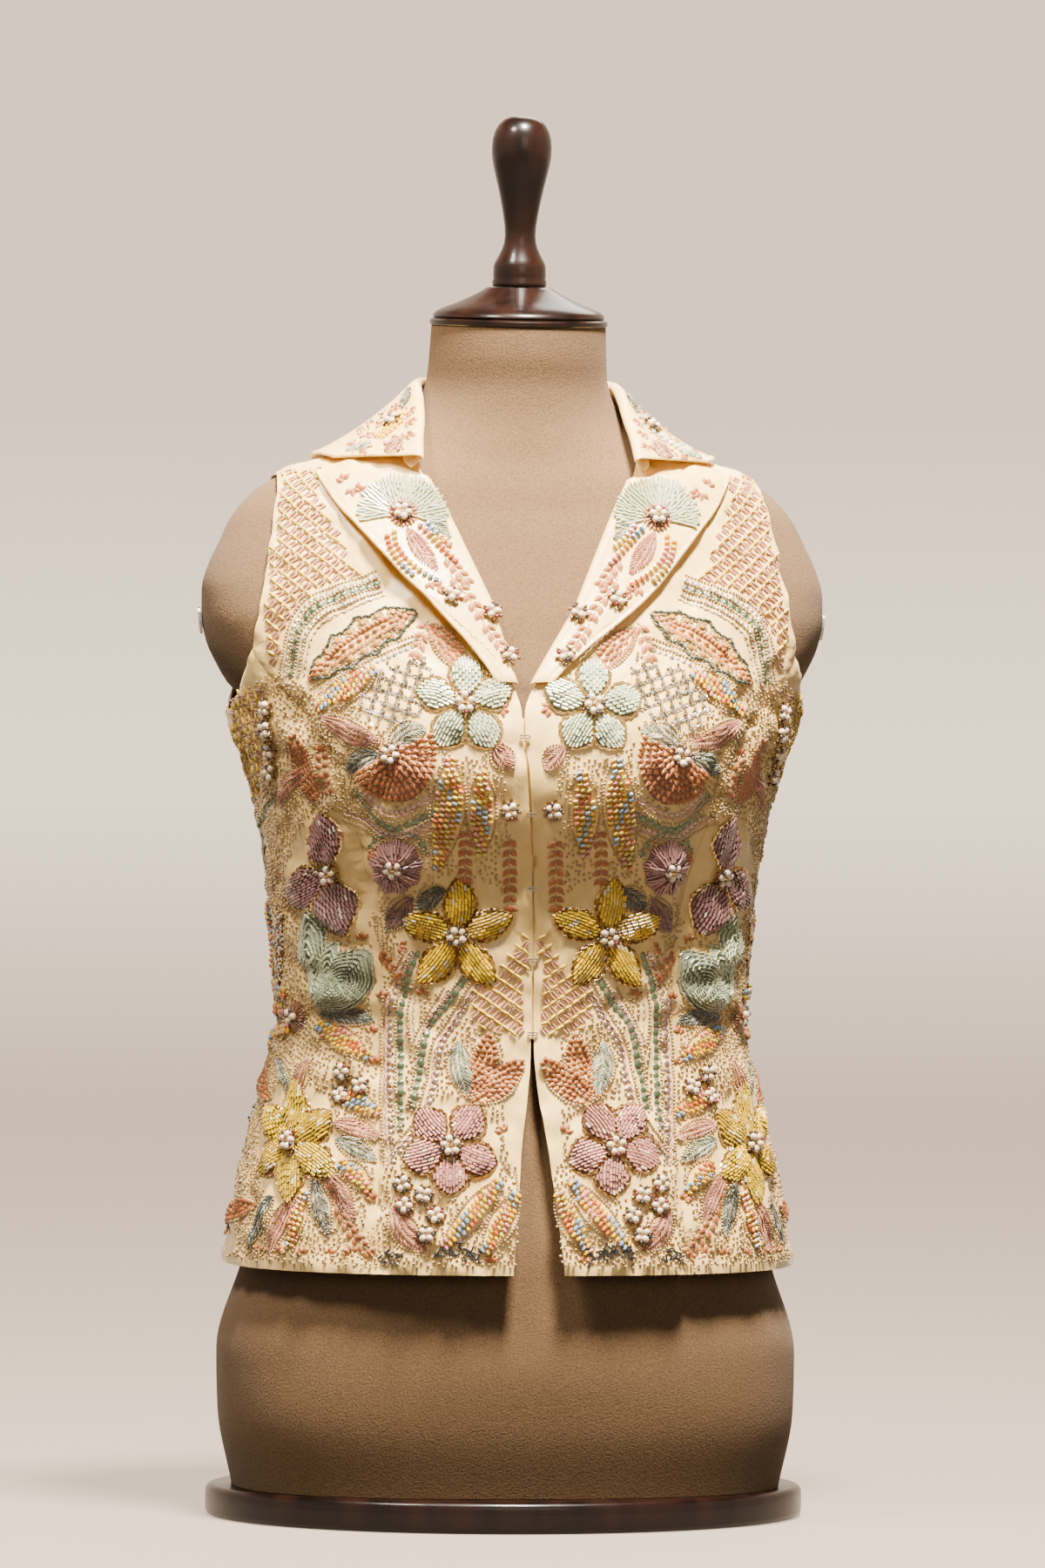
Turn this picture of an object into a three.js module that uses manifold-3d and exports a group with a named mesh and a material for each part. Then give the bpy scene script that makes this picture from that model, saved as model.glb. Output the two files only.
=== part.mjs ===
// A sleeveless beaded jacket with notched lapels, closed down the front with hooks, on a limbless dress form.
// Millimetres, +Z up. The figure faces -Y and its own left side is +X. The origin is under the middle of the base board.
//
// Every piece of cloth is worked out from one surface: the figure's sections, plus the ease that the cut gives the
// jacket. A place on that surface is an angle round the figure (0 at its left side, -90 degrees at the front, 90 at
// the back), a height, and a lift off the inside of the cloth.
import * as THREE from "three";
import { mergeVertices } from "three/addons/utils/BufferGeometryUtils.js";
import Module from "manifold-3d";

const wasm = await Module();
wasm.setup();

// ---------------------------------------------------------------- driving sizes

const CLOTH = 2; // satin, interlining and lining together
const SEAM = 0.3; // gap between sewn pieces
const HEM = 145;
const BOARD = { thickness: 18, halfWidth: 172, halfDepth: 128, bevel: 4, middleY: 10 };
const NECK_TOP = 682;
const NECK_TILT = Math.tan(THREE.MathUtils.degToRad(4.5)); // the neck's top slopes down to the front

// Sections of the figure: half width, and where the front, the back and the widest line lie at the middle.
const FIGURE = [
  { z: 18.3, halfWidth: 157, front: -97, back: 115, widest: 6, power: 2.5 },
  { z: 60, halfWidth: 165, front: -105, back: 127, widest: 8, power: 2.5 },
  { z: 95, halfWidth: 166, front: -108, back: 131, widest: 9, power: 2.4 },
  { z: 145, halfWidth: 152, front: -106, back: 124, widest: 8, power: 2.35 },
  { z: 200, halfWidth: 139, front: -98, back: 104, widest: 5, power: 2.3 },
  { z: 240, halfWidth: 129, front: -91, back: 90, widest: 2, power: 2.25 },
  { z: 285, halfWidth: 121, front: -86, back: 80, widest: 0, power: 2.2 },
  { z: 320, halfWidth: 123, front: -88, back: 78, widest: 0, power: 2.2 },
  { z: 360, halfWidth: 130, front: -95, back: 81, widest: 0, power: 2.25 },
  { z: 400, halfWidth: 138, front: -103, back: 87, widest: 0, power: 2.3 },
  { z: 430, halfWidth: 144, front: -106, back: 92, widest: 0, power: 2.3 },
  { z: 452, halfWidth: 147, front: -106, back: 96, widest: 1, power: 2.3 },
  { z: 463, halfWidth: 150, front: -105, back: 97, widest: 2, power: 2.3 },
  { z: 470, halfWidth: 157, front: -103, back: 98, widest: 2, power: 2.3 },
  { z: 477, halfWidth: 164, front: -102, back: 99, widest: 3, power: 2.3 },
  { z: 487, halfWidth: 170, front: -99, back: 100, widest: 3, power: 2.3 },
  { z: 500, halfWidth: 176, front: -95, back: 101, widest: 4, power: 2.3 },
  { z: 515, halfWidth: 179, front: -91, back: 101, widest: 4, power: 2.3 },
  { z: 530, halfWidth: 179, front: -86, back: 101, widest: 5, power: 2.25 },
  { z: 545, halfWidth: 175, front: -81, back: 99, widest: 6, power: 2.2 },
  { z: 560, halfWidth: 168, front: -76, back: 96, widest: 6, power: 2.15 },
  { z: 568, halfWidth: 164.5, front: -73, back: 94, widest: 7, power: 2.12 },
  { z: 576, halfWidth: 159.5, front: -70, back: 91, widest: 7, power: 2.1 },
  { z: 583, halfWidth: 153.5, front: -68, back: 88, widest: 8, power: 2.07 },
  { z: 589.5, halfWidth: 146, front: -66, back: 84.5, widest: 8, power: 2.04 },
  { z: 594, halfWidth: 138, front: -64.5, back: 81.5, widest: 8, power: 2.02 },
  { z: 598, halfWidth: 127, front: -63, back: 79, widest: 8, power: 2 },
  { z: 601.5, halfWidth: 113, front: -62, back: 76.5, widest: 8, power: 2 },
  { z: 605, halfWidth: 100, front: -61, back: 74, widest: 7, power: 2 },
  { z: 611, halfWidth: 86, front: -60, back: 70, widest: 6, power: 2 },
  { z: 617, halfWidth: 76, front: -59, back: 65, widest: 5, power: 2 },
  { z: 624, halfWidth: 67, front: -58, back: 60, widest: 3, power: 2 },
  { z: 632, halfWidth: 60, front: -57.5, back: 54.5, widest: 1, power: 2 },
  { z: 641, halfWidth: 55, front: -57.5, back: 50, widest: -2, power: 2 },
  { z: 651, halfWidth: 52, front: -58.5, back: 46, widest: -6, power: 2 },
  { z: 662, halfWidth: 51, front: -60.5, back: 43, widest: -9, power: 2 },
  { z: NECK_TOP, halfWidth: 50, front: -62, back: 38, widest: -12, power: 2 },
];
const BUST = { x: 88, z: 430, out: 18, spreadX: 46, spreadUp: 58, spreadDown: 50, bridge: 0.35 };

// How far the inside of the jacket stands off the figure.
const EASE = [
  { z: 140, side: 9, front: 12, back: 8 },
  { z: 200, side: 13, front: 12, back: 10 },
  { z: 240, side: 13, front: 10, back: 12 },
  { z: 285, side: 11, front: 9, back: 12 },
  { z: 320, side: 11, front: 8, back: 10 },
  { z: 360, side: 7.5, front: 6, back: 6 },
  { z: 400, side: 6, front: 6, back: 3 },
  { z: 430, side: 8, front: 6, back: 2.5 },
  { z: 452, side: 13.5, front: 6, back: 2.5 },
  { z: 463, side: 13, front: 6, back: 2.5 },
  { z: 470, side: 8, front: 6, back: 2.5 },
  { z: 477, side: 5, front: 5.5, back: 2.5 },
  { z: 500, side: 4, front: 5, back: 2.5 },
  { z: 530, side: 3.5, front: 4, back: 2.2 },
  { z: 560, side: 3, front: 3, back: 2.2 },
  { z: 586, side: 3.4, front: 2.5, back: 2.3 },
  { z: 594, side: 5, front: 2.6, back: 2.6 },
  { z: 600, side: 7, front: 3, back: 3 },
  { z: 605, side: 7, front: 3.2, back: 3.4 },
  { z: 612, side: 5, front: 3.4, back: 3.8 },
  { z: 630, side: 4.2, front: 4, back: 4.6 },
];

// The two fronts meet on a line that wanders a little from the middle.
const CLOSURE = [
  { z: HEM, x: 3.5 },
  { z: 272, x: 1 },
  { z: 330, x: 1 },
  { z: 370, x: -1 },
  { z: 415, x: -5 },
  { z: 458, x: -9 },
  { z: 520, x: 0 },
];
// Distance of the front's free edge from that line: hem vent, closed stretch, roll line, then the neckline.
const FRONT_EDGE = [
  { z: HEM, x: 14.5 },
  { z: 210, x: 8 },
  { z: 272, x: 0.9 },
  { z: 320, x: 0.6 },
  { z: 458, x: 0.9 },
  { z: 487, x: 12 },
  { z: 515, x: 24 },
  { z: 545, x: 37 },
  { z: 572, x: 49 },
  { z: 597, x: 61 },
  { z: 608, x: 64.5 },
  { z: 618, x: 67.5 },
  { z: 624, x: 69 },
  { z: 628, x: 76 },
];
// The princess seam, which runs over the bust into the armhole, then the armhole up to the shoulder.
const FRONT_SEAM = [
  { z: HEM, x: 90 },
  { z: 210, x: 84 },
  { z: 272, x: 81 },
  { z: 320, x: 84 },
  { z: 370, x: 94 },
  { z: 412, x: 106 },
  { z: 440, x: 115 },
  { z: 457, x: 126 },
  { z: 477, x: 143 },
  { z: 496, x: 154 },
  { z: 522, x: 150 },
  { z: 545, x: 146 },
  { z: 570, x: 142 },
  { z: 586, x: 139 },
  { z: 597, x: 137 },
];
const BACK_EDGE = [
  { z: HEM, x: 0.2 },
  { z: 617, x: 0.2 },
  { z: 618, x: 24 },
  { z: 620.5, x: 43 },
  { z: 624, x: 57 },
  { z: 628, x: 76 },
];
const BACK_SEAM = [
  { z: HEM, x: 88 },
  { z: 210, x: 78 },
  { z: 285, x: 70 },
  { z: 345, x: 78 },
  { z: 400, x: 92 },
  { z: 448, x: 112 },
  { z: 475, x: 134 },
  { z: 494, x: 149 },
  { z: 520, x: 149 },
  { z: 545, x: 146 },
  { z: 570, x: 142 },
  { z: 586, x: 139 },
  { z: 597, x: 137 },
];
// Heights that the rows of a panel join at its inner and outer edge. Panels that share a seam share its heights.
const FRONT_ROWS = [
  { row: 0, inner: HEM, outer: HEM },
  { row: 7, inner: 272, outer: 272 },
  { row: 13, inner: 370, outer: 370 },
  { row: 18, inner: 458, outer: 455 },
  { row: 21, inner: 515, outer: 496 },
  { row: 23, inner: 548, outer: 524 },
  { row: 25, inner: 580, outer: 553 },
  { row: 27, inner: 603, outer: 577 },
  { row: 29, inner: 620, outer: 592 },
  { row: 30, inner: 628, outer: 597 },
];
const BACK_ROWS = [
  { row: 0, inner: HEM, outer: HEM },
  { row: 7, inner: 285, outer: 285 },
  { row: 13, inner: 400, outer: 390 },
  { row: 18, inner: 500, outer: 462 },
  { row: 21, inner: 560, outer: 494 },
  { row: 25, inner: 603, outer: 554 },
  { row: 27, inner: 617, outer: 574 },
  { row: 28, inner: 618, outer: 582 },
  { row: 29, inner: 620.5, outer: 588 },
  { row: 30, inner: 624, outer: 593 },
  { row: 31, inner: 628, outer: 597 },
];
const SIDE_ROWS = [
  { row: 0, side: HEM },
  { row: 7, side: 282 },
  { row: 13, side: 366 },
  { row: 18, side: 432 },
  { row: 21, side: 461 },
];
const ARMHOLE_DIP = 7; // how far the bottom of the armhole hangs below the straight line between its ends

// The lapel's outer edge, from the break up to its point.
const LAPEL_EDGE = [
  { z: 470, x: 12 },
  { z: 484, x: 24 },
  { z: 500, x: 40 },
  { z: 515, x: 56 },
  { z: 530, x: 71 },
  { z: 545, x: 83 },
  { z: 560, x: 95 },
  { z: 575, x: 107 },
  { z: 596, x: 119 },
];
const LAPEL = { thickness: 2.4, breakZ: 475, rollTopZ: 592, pointZ: 594, roll: 2.6, lift: 4.7 };
const LAPEL_SPRING = { 1: 2, [-1]: 8 }; // the right lapel stands off the front, the left one lies flatter

// The collar from its front end round to the middle of the back: neck seam, roll line and outer edge. `sag` is how
// far the fall dips between its roll line and its edge.
const COLLAR = [
  { station: 0, seamAngle: -62, seamZ: 596, rollX: 62.5, rollY: -66, rollZ: 602, edgeAngle: -32, edgeZ: 600, sag: 0 },
  { station: 2, seamAngle: -42, seamZ: 611, rollX: 61, rollY: -54, rollZ: 614, edgeAngle: -23, edgeZ: 601.5, sag: 1 },
  { station: 4, seamAngle: -25, seamZ: 620, rollX: 58.5, rollY: -40, rollZ: 626, edgeAngle: -13, edgeZ: 602.5, sag: 5 },
  { station: 6, seamAngle: -10, seamZ: 625, rollX: 57, rollY: -23, rollZ: 638, edgeAngle: -3, edgeZ: 603, sag: 9 },
  { station: 8, seamAngle: 8, seamZ: 627, rollX: 56, rollY: -3, rollZ: 646, edgeAngle: 10, edgeZ: 602.5, sag: 8 },
  { station: 10, seamAngle: 36, seamZ: 623, rollX: 48, rollY: 24, rollZ: 650, edgeAngle: 30, edgeZ: 600, sag: 5 },
  { station: 12, seamAngle: 64, seamZ: 619, rollX: 26.5, rollY: 44, rollZ: 652, edgeAngle: 58, edgeZ: 597, sag: -4 },
  { station: 13, seamAngle: 90, seamZ: 618, rollX: 0, rollY: 50, rollZ: 653, edgeAngle: 90, edgeZ: 596, sag: -5 },
];
const COLLAR_CLOTH = { thickness: 2.4, seamLift: 4.2, edgeLift: 5.5, fold: 4.8 };

const UNDERLAP = { thickness: 1.5, halfWidth: 13, bottom: 277, top: 457, gap: 0.9 };
const HOOK = { heights: [279.5, 321, 362, 404, 446], length: 6.5, width: 2.4, thickness: 1, gap: 0.8 };

// ---------------------------------------------------------------- smooth tables

// Slope of a column at one row: the harmonic mean of the slopes beside it, so that the curve never overshoots.
function slopeAt(rows, key, column, i) {
  const rise = (a, b) => (rows[b][column] - rows[a][column]) / (rows[b][key] - rows[a][key]);
  if (i === 0) return rise(0, 1);
  if (i === rows.length - 1) return rise(i - 1, i);
  const before = rise(i - 1, i);
  const after = rise(i, i + 1);
  return before * after <= 0 ? 0 : (2 * before * after) / (before + after);
}

// Value of a column where `key` is `at`, held level past the table's ends.
function valueAt(rows, key, at, column) {
  const last = rows.length - 1;
  if (at <= rows[0][key]) return rows[0][column];
  if (at >= rows[last][key]) return rows[last][column];
  const i = rows.findIndex((row, k) => k < last && at < rows[k + 1][key]);
  const step = rows[i + 1][key] - rows[i][key];
  const t = (at - rows[i][key]) / step;
  const rest = 1 - t;
  return (
    rows[i][column] * rest * rest * (1 + 2 * t) +
    rows[i + 1][column] * t * t * (3 - 2 * t) +
    slopeAt(rows, key, column, i) * step * t * rest * rest -
    slopeAt(rows, key, column, i + 1) * step * t * t * rest
  );
}

// All the columns of a table where `key` is `at`.
function rowAt(rows, key, at) {
  return Object.fromEntries(Object.keys(rows[0]).map((column) => [column, valueAt(rows, key, at, column)]));
}

// ---------------------------------------------------------------- the figure and the cloth on it

const degrees = THREE.MathUtils.degToRad;

function sectionAt(z, eased) {
  const at = (column) => valueAt(FIGURE, "z", z, column);
  const ease = (column) => (eased ? valueAt(EASE, "z", z, column) : 0);
  return {
    halfWidth: at("halfWidth") + ease("side"),
    frontDepth: at("widest") - at("front") + ease("front"),
    backDepth: at("back") - at("widest") + ease("back"),
    widest: at("widest"),
    power: at("power"),
  };
}

// The bust's rise at a place on the front. Cloth bridges from one side to the other.
function bustAt(x, z, eased) {
  const beyond = Math.abs(x) - BUST.x;
  const spreadZ = z > BUST.z ? BUST.spreadUp : BUST.spreadDown;
  const across = eased && beyond < 0 ? 1 - BUST.bridge * (beyond / BUST.x) ** 2 : Math.exp(-((beyond / BUST.spreadX) ** 2));
  return BUST.out * across * Math.exp(-(((z - BUST.z) / spreadZ) ** 2));
}

// A point of the figure, or of the inside of the cloth when `eased`.
function surface(angle, z, eased) {
  const section = sectionAt(z, eased);
  const across = Math.cos(angle);
  const along = Math.sin(angle);
  const bend = 2 / section.power;
  const x = section.halfWidth * Math.sign(across) * Math.abs(across) ** bend;
  const depth = along < 0 ? section.frontDepth : section.backDepth;
  let y = section.widest + depth * Math.sign(along) * Math.abs(along) ** bend;
  if (along < 0) y -= bustAt(x, z, eased) * along * along;
  const tilt = NECK_TILT * THREE.MathUtils.smoothstep(z, 648, NECK_TOP);
  return new THREE.Vector3(x, y, z + (y - section.widest) * tilt);
}

// Directions at a place on the surface: round the figure, up it, and out of it.
function directionsAt(angle, z, eased) {
  const turn = 0.004;
  const rise = 0.5;
  const round = surface(angle + turn, z, eased).sub(surface(angle - turn, z, eased)).normalize();
  const up = surface(angle, z + rise, eased).sub(surface(angle, z - rise, eased)).normalize();
  const out = round.clone().cross(up).normalize();
  return { round, up: out.clone().cross(round), out };
}

function figurePoint(angle, z, lift) {
  return surface(angle, z, false).addScaledVector(directionsAt(angle, z, false).out, lift);
}

function clothPoint(angle, z, lift) {
  return surface(angle, z, true).addScaledVector(directionsAt(angle, z, true).out, lift);
}

// The angle at which the cloth is `x` from the middle, on the front or the back.
function angleAt(x, z, back) {
  const section = sectionAt(z, true);
  const share = THREE.MathUtils.clamp(x / section.halfWidth, -1, 1);
  const angle = Math.acos(Math.sign(share) * Math.abs(share) ** (section.power / 2));
  return back ? angle : -angle;
}

// The angle of the place on the cloth that lies straight behind a point near it.
function angleBehind(point) {
  const section = sectionAt(point.z, true);
  const y = point.y - section.widest;
  const depth = y < 0 ? section.frontDepth + bustAt(point.x, point.z, true) : section.backDepth;
  const across = Math.abs(point.x / section.halfWidth) ** (section.power / 2);
  const along = Math.abs(y / depth) ** (section.power / 2);
  return Math.atan2(Math.sign(y) * along, Math.sign(point.x) * across);
}

// ---------------------------------------------------------------- closed solids from grids of points

function signedVolume(points, faces) {
  return faces.reduce((sum, [a, b, c]) => sum + points[a].dot(points[b].clone().cross(points[c])), 0);
}

function solid(points, faces) {
  const outward = signedVolume(points, faces) > 0 ? faces : faces.map(([a, b, c]) => [a, c, b]);
  const geometry = new THREE.BufferGeometry().setFromPoints(points);
  geometry.setIndex(outward.flat());
  geometry.computeVertexNormals();
  return geometry;
}

const quad = (a, b, c, d) => [[a, b, c], [a, c, d]];
const range = (count) => Array.from({ length: count }, (_, i) => i);

// A wall between two grids of points with the same rows and columns.
function wall(outer, inner) {
  const columns = outer[0].length;
  const rows = outer.length;
  const points = [...outer.flat(), ...inner.flat()];
  const at = (row, column, side) => (side * rows + row) * columns + column;
  const faces = [];
  for (const row of range(rows - 1))
    for (const column of range(columns - 1)) {
      const corners = [[row, column], [row, column + 1], [row + 1, column + 1], [row + 1, column]];
      faces.push(...quad(...corners.map(([r, c]) => at(r, c, 0))));
      faces.push(...quad(...corners.reverse().map(([r, c]) => at(r, c, 1))));
    }
  for (const [row, backward] of [[0, false], [rows - 1, true]])
    for (const column of range(columns - 1)) {
      const edge = [at(row, column, 1), at(row, column + 1, 1), at(row, column + 1, 0), at(row, column, 0)];
      faces.push(...quad(...(backward ? edge.reverse() : edge)));
    }
  for (const [column, backward] of [[0, true], [columns - 1, false]])
    for (const row of range(rows - 1)) {
      const edge = [at(row, column, 1), at(row + 1, column, 1), at(row + 1, column, 0), at(row, column, 0)];
      faces.push(...quad(...(backward ? edge.reverse() : edge)));
    }
  return solid(points, faces);
}

// A sheet of even thickness whose middle is a grid of points.
function sheet(middle, thickness) {
  const rows = middle.length;
  const columns = middle[0].length;
  const offset = (row, column, distance) => {
    const [r0, r1] = [Math.max(row - 1, 0), Math.min(row + 1, rows - 1)];
    const [c0, c1] = [Math.max(column - 1, 0), Math.min(column + 1, columns - 1)];
    const along = middle[row][c1].clone().sub(middle[row][c0]).normalize();
    const up = middle[r1][column].clone().sub(middle[r0][column]).normalize();
    return middle[row][column].clone().addScaledVector(along.cross(up).normalize(), distance);
  };
  const grid = (distance) => range(rows).map((row) => range(columns).map((column) => offset(row, column, distance)));
  return wall(grid(thickness / 2), grid(-thickness / 2));
}

// A solid with closed rings of points from one end to the other, each end closed to its middle.
function loft(rings) {
  const count = rings[0].length;
  const points = rings.flat();
  const faces = [];
  for (const ring of range(rings.length - 1))
    for (const i of range(count)) {
      const next = (i + 1) % count;
      const base = ring * count;
      faces.push(...quad(base + i, base + next, base + count + next, base + count + i));
    }
  for (const [ring, backward] of [[0, true], [rings.length - 1, false]]) {
    const middle = rings[ring].reduce((sum, p) => sum.add(p), new THREE.Vector3()).divideScalar(count);
    const centre = points.push(middle) - 1;
    for (const i of range(count)) {
      const edge = [ring * count + i, ring * count + ((i + 1) % count)];
      faces.push([...(backward ? edge.reverse() : edge), centre]);
    }
  }
  return solid(points, faces);
}

// ---------------------------------------------------------------- manifold-3d joins

function toManifold(geometry) {
  const bare = new THREE.BufferGeometry();
  bare.setAttribute("position", geometry.getAttribute("position"));
  bare.setIndex(geometry.index);
  const merged = mergeVertices(bare, 1e-3);
  const mesh = new wasm.Mesh({
    numProp: 3,
    vertProperties: new Float32Array(merged.attributes.position.array),
    triVerts: new Uint32Array(merged.index.array),
  });
  return new wasm.Manifold(mesh);
}

function join(geometries) {
  const whole = geometries.map(toManifold).reduce((sum, next) => sum.add(next));
  const mesh = whole.getMesh();
  const geometry = new THREE.BufferGeometry();
  geometry.setAttribute("position", new THREE.BufferAttribute(mesh.vertProperties, 3));
  geometry.setIndex(new THREE.BufferAttribute(mesh.triVerts, 1));
  geometry.computeVertexNormals();
  return geometry;
}

// ---------------------------------------------------------------- materials

const material = (color, roughness, metalness = 0) => new THREE.MeshStandardMaterial({ color, roughness, metalness });
const SATIN = material("#ecd9b8", 0.45);
const FORM_CLOTH = material("#bba58c", 0.95);
const WOOD = material("#2a1712", 0.3);
const STEEL = material("#8f8f8c", 0.35, 1);
const MINT = material("#c3d6c6", 0.4);
const YELLOW = material("#e2bd2e", 0.45);
const PINK = material("#dba9a2", 0.4);
const MAUVE = material("#a9817f", 0.45);
const CORAL = material("#d58f77", 0.6);
const PEARL = material("#efe0cf", 0.3);

const group = new THREE.Group();

function add(name, geometry, finish, parent = group) {
  const mesh = new THREE.Mesh(geometry, finish);
  mesh.name = name;
  parent.add(mesh);
  return mesh;
}

const SIDES = [
  { side: 1, word: "left" },
  { side: -1, word: "right" },
];

// ---------------------------------------------------------------- dress form

const FORM_COLUMNS = 28;
const FORM_STEP = 40; // tallest band between two sections

function addForm() {
  const heights = FIGURE.flatMap(({ z }, i) => {
    if (i === FIGURE.length - 1) return [z];
    const gap = FIGURE[i + 1].z - z;
    const bands = Math.ceil(gap / FORM_STEP);
    return range(bands).map((band) => z + (gap * band) / bands);
  });
  const ringAt = (z) => range(FORM_COLUMNS).map((i) => surface((2 * Math.PI * i) / FORM_COLUMNS, z, false));
  add("form_body", loft(heights.map(ringAt)), FORM_CLOTH);
}

function addBoard() {
  const { thickness, halfWidth, halfDepth, bevel, middleY } = BOARD;
  const outline = new THREE.Shape().absellipse(0, 0, halfWidth - bevel, halfDepth - bevel, 0, 2 * Math.PI);
  const geometry = new THREE.ExtrudeGeometry(outline, {
    depth: thickness - 2 * bevel,
    bevelThickness: bevel,
    bevelSize: bevel,
    bevelSegments: 2,
    curveSegments: 14,
  });
  add("base_board", geometry, WOOD).position.set(0, middleY, bevel);
}

// The turned neck cap and its handle, as radius and height above the neck.
const CAP = [
  { radius: 51, height: 0 },
  { radius: 51, height: 2.8 },
  { radius: 49, height: 5.8 },
  { radius: 44.6, height: 8.9 },
  { radius: 37.5, height: 12 },
  { radius: 30.4, height: 15.2 },
  { radius: 23, height: 18.8 },
  { radius: 18.3, height: 21.9 },
];
const HANDLE = [
  { radius: 15.4, height: 0 },
  { radius: 15.1, height: 5.8 },
  { radius: 14.5, height: 12 },
  { radius: 13.2, height: 15.6 },
  { radius: 11.2, height: 20 },
  { radius: 9.3, height: 24.6 },
  { radius: 8.8, height: 29 },
  { radius: 9.1, height: 34.4 },
  { radius: 11.4, height: 48.7 },
  { radius: 14.7, height: 63 },
  { radius: 17, height: 74 },
  { radius: 16.9, height: 83 },
  { radius: 14.8, height: 90.6 },
  { radius: 11.5, height: 95 },
  { radius: 7, height: 97.6 },
];

function turned(profile, segments) {
  const top = profile[profile.length - 1].height;
  const outline = profile.map(({ radius, height }) => new THREE.Vector2(radius, height));
  const points = [new THREE.Vector2(0, 0), ...outline, new THREE.Vector2(0, top)];
  return new THREE.LatheGeometry(points, segments).rotateX(Math.PI / 2);
}

function addCap() {
  const gap = 0.3;
  const neck = sectionAt(NECK_TOP, false);
  const tilted = new THREE.Group();
  tilted.position.set(0, neck.widest, NECK_TOP + gap);
  tilted.rotation.x = Math.atan(NECK_TILT);
  add("neck_cap", turned(CAP, 24), WOOD, tilted);
  add("neck_handle", turned(HANDLE, 14), WOOD, tilted).position.z = CAP[CAP.length - 1].height + gap;
  group.add(tilted);
}

// The steel plate that an arm would hook on, on each shoulder end.
function addArmPlates() {
  const plate = { height: 15, width: 6, thickness: 1.6, z: 512, lift: 0.4 };
  for (const { side, word } of SIDES) {
    const angle = side > 0 ? 0 : Math.PI;
    const outline = new THREE.Shape().absellipse(0, 0, plate.width / 2, plate.height / 2, 0, 2 * Math.PI);
    const geometry = new THREE.ExtrudeGeometry(outline, { depth: plate.thickness, bevelEnabled: false, curveSegments: 8 });
    const mesh = add(`arm_plate_${word}`, geometry, STEEL);
    const { round, up, out } = directionsAt(angle, plate.z, false);
    mesh.quaternion.setFromRotationMatrix(new THREE.Matrix4().makeBasis(round, up, out));
    mesh.position.copy(figurePoint(angle, plate.z, plate.lift));
  }
}

// ---------------------------------------------------------------- jacket panels

const edgeOf = (table, z) => valueAt(table, "z", z, "x");

// A panel whose rows join two edges. Each edge has a height and an angle on every row.
function panel({ count, columns, inner, outer, dip = 0 }) {
  const grid = (lift) =>
    range(count + 1).map((row) => {
      const from = inner(row);
      const to = outer(row);
      return range(columns + 1).map((column) => {
        const across = column / columns;
        const sag = dip * 4 * across * (1 - across) * (row / count) ** 4;
        const angle = THREE.MathUtils.lerp(from.angle, to.angle, across);
        return clothPoint(angle, THREE.MathUtils.lerp(from.z, to.z, across) - sag, lift);
      });
    });
  return wall(grid(CLOTH), grid(0));
}

// An angle measured from the figure's left side, moved to the side and the face that a panel is on.
function placed(angle, side, back) {
  const turned = side > 0 ? angle : Math.PI - angle;
  return back ? turned : -turned;
}

// The angle of the side and shoulder line, kept off it by half a seam.
function sideAngle(z, back) {
  const section = sectionAt(z, true);
  const depth = back ? section.backDepth : section.frontDepth;
  return (SEAM / 2 / depth) ** (section.power / 2);
}

// The place of an edge that is `x` from the middle, kept off the side and shoulder line.
function edgePlace(side, x, z, back) {
  const angle = Math.abs(angleAt(x, z, back));
  return { angle: placed(Math.max(angle, sideAngle(z, back)), side, back), z };
}

function addPanels() {
  const half = SEAM / 2;
  for (const { side, word } of SIDES) {
    const seams = [
      { face: "front", back: false, rows: FRONT_ROWS, edge: FRONT_EDGE, seam: FRONT_SEAM, columns: 6 },
      { face: "back", back: true, rows: BACK_ROWS, edge: BACK_EDGE, seam: BACK_SEAM, columns: 5 },
    ];
    for (const { face, back, rows, edge, seam, columns } of seams) {
      const middle = (z) => (back ? 0 : side * edgeOf(CLOSURE, z));
      const seamPlace = (row, gap) => {
        const z = valueAt(rows, "row", row, "outer");
        return edgePlace(side, edgeOf(seam, z) + gap, z, back);
      };
      const centre = panel({
        count: rows[rows.length - 1].row,
        columns,
        inner: (row) => {
          const z = valueAt(rows, "row", row, "inner");
          return edgePlace(side, edgeOf(edge, z) + middle(z), z, back);
        },
        outer: (row) => seamPlace(row, -half),
      });
      add(`centre_${face}_${word}`, centre, SATIN);
      const sidePanel = panel({
        count: SIDE_ROWS[SIDE_ROWS.length - 1].row,
        columns: 4,
        inner: (row) => seamPlace(row, half),
        outer: (row) => {
          const z = valueAt(SIDE_ROWS, "row", row, "side");
          return { angle: placed(sideAngle(z, back), side, back), z };
        },
        dip: ARMHOLE_DIP,
      });
      add(`side_${face}_${word}`, sidePanel, SATIN);
    }
  }
}

// ---------------------------------------------------------------- lapels, collar, underlap and hooks

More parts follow.
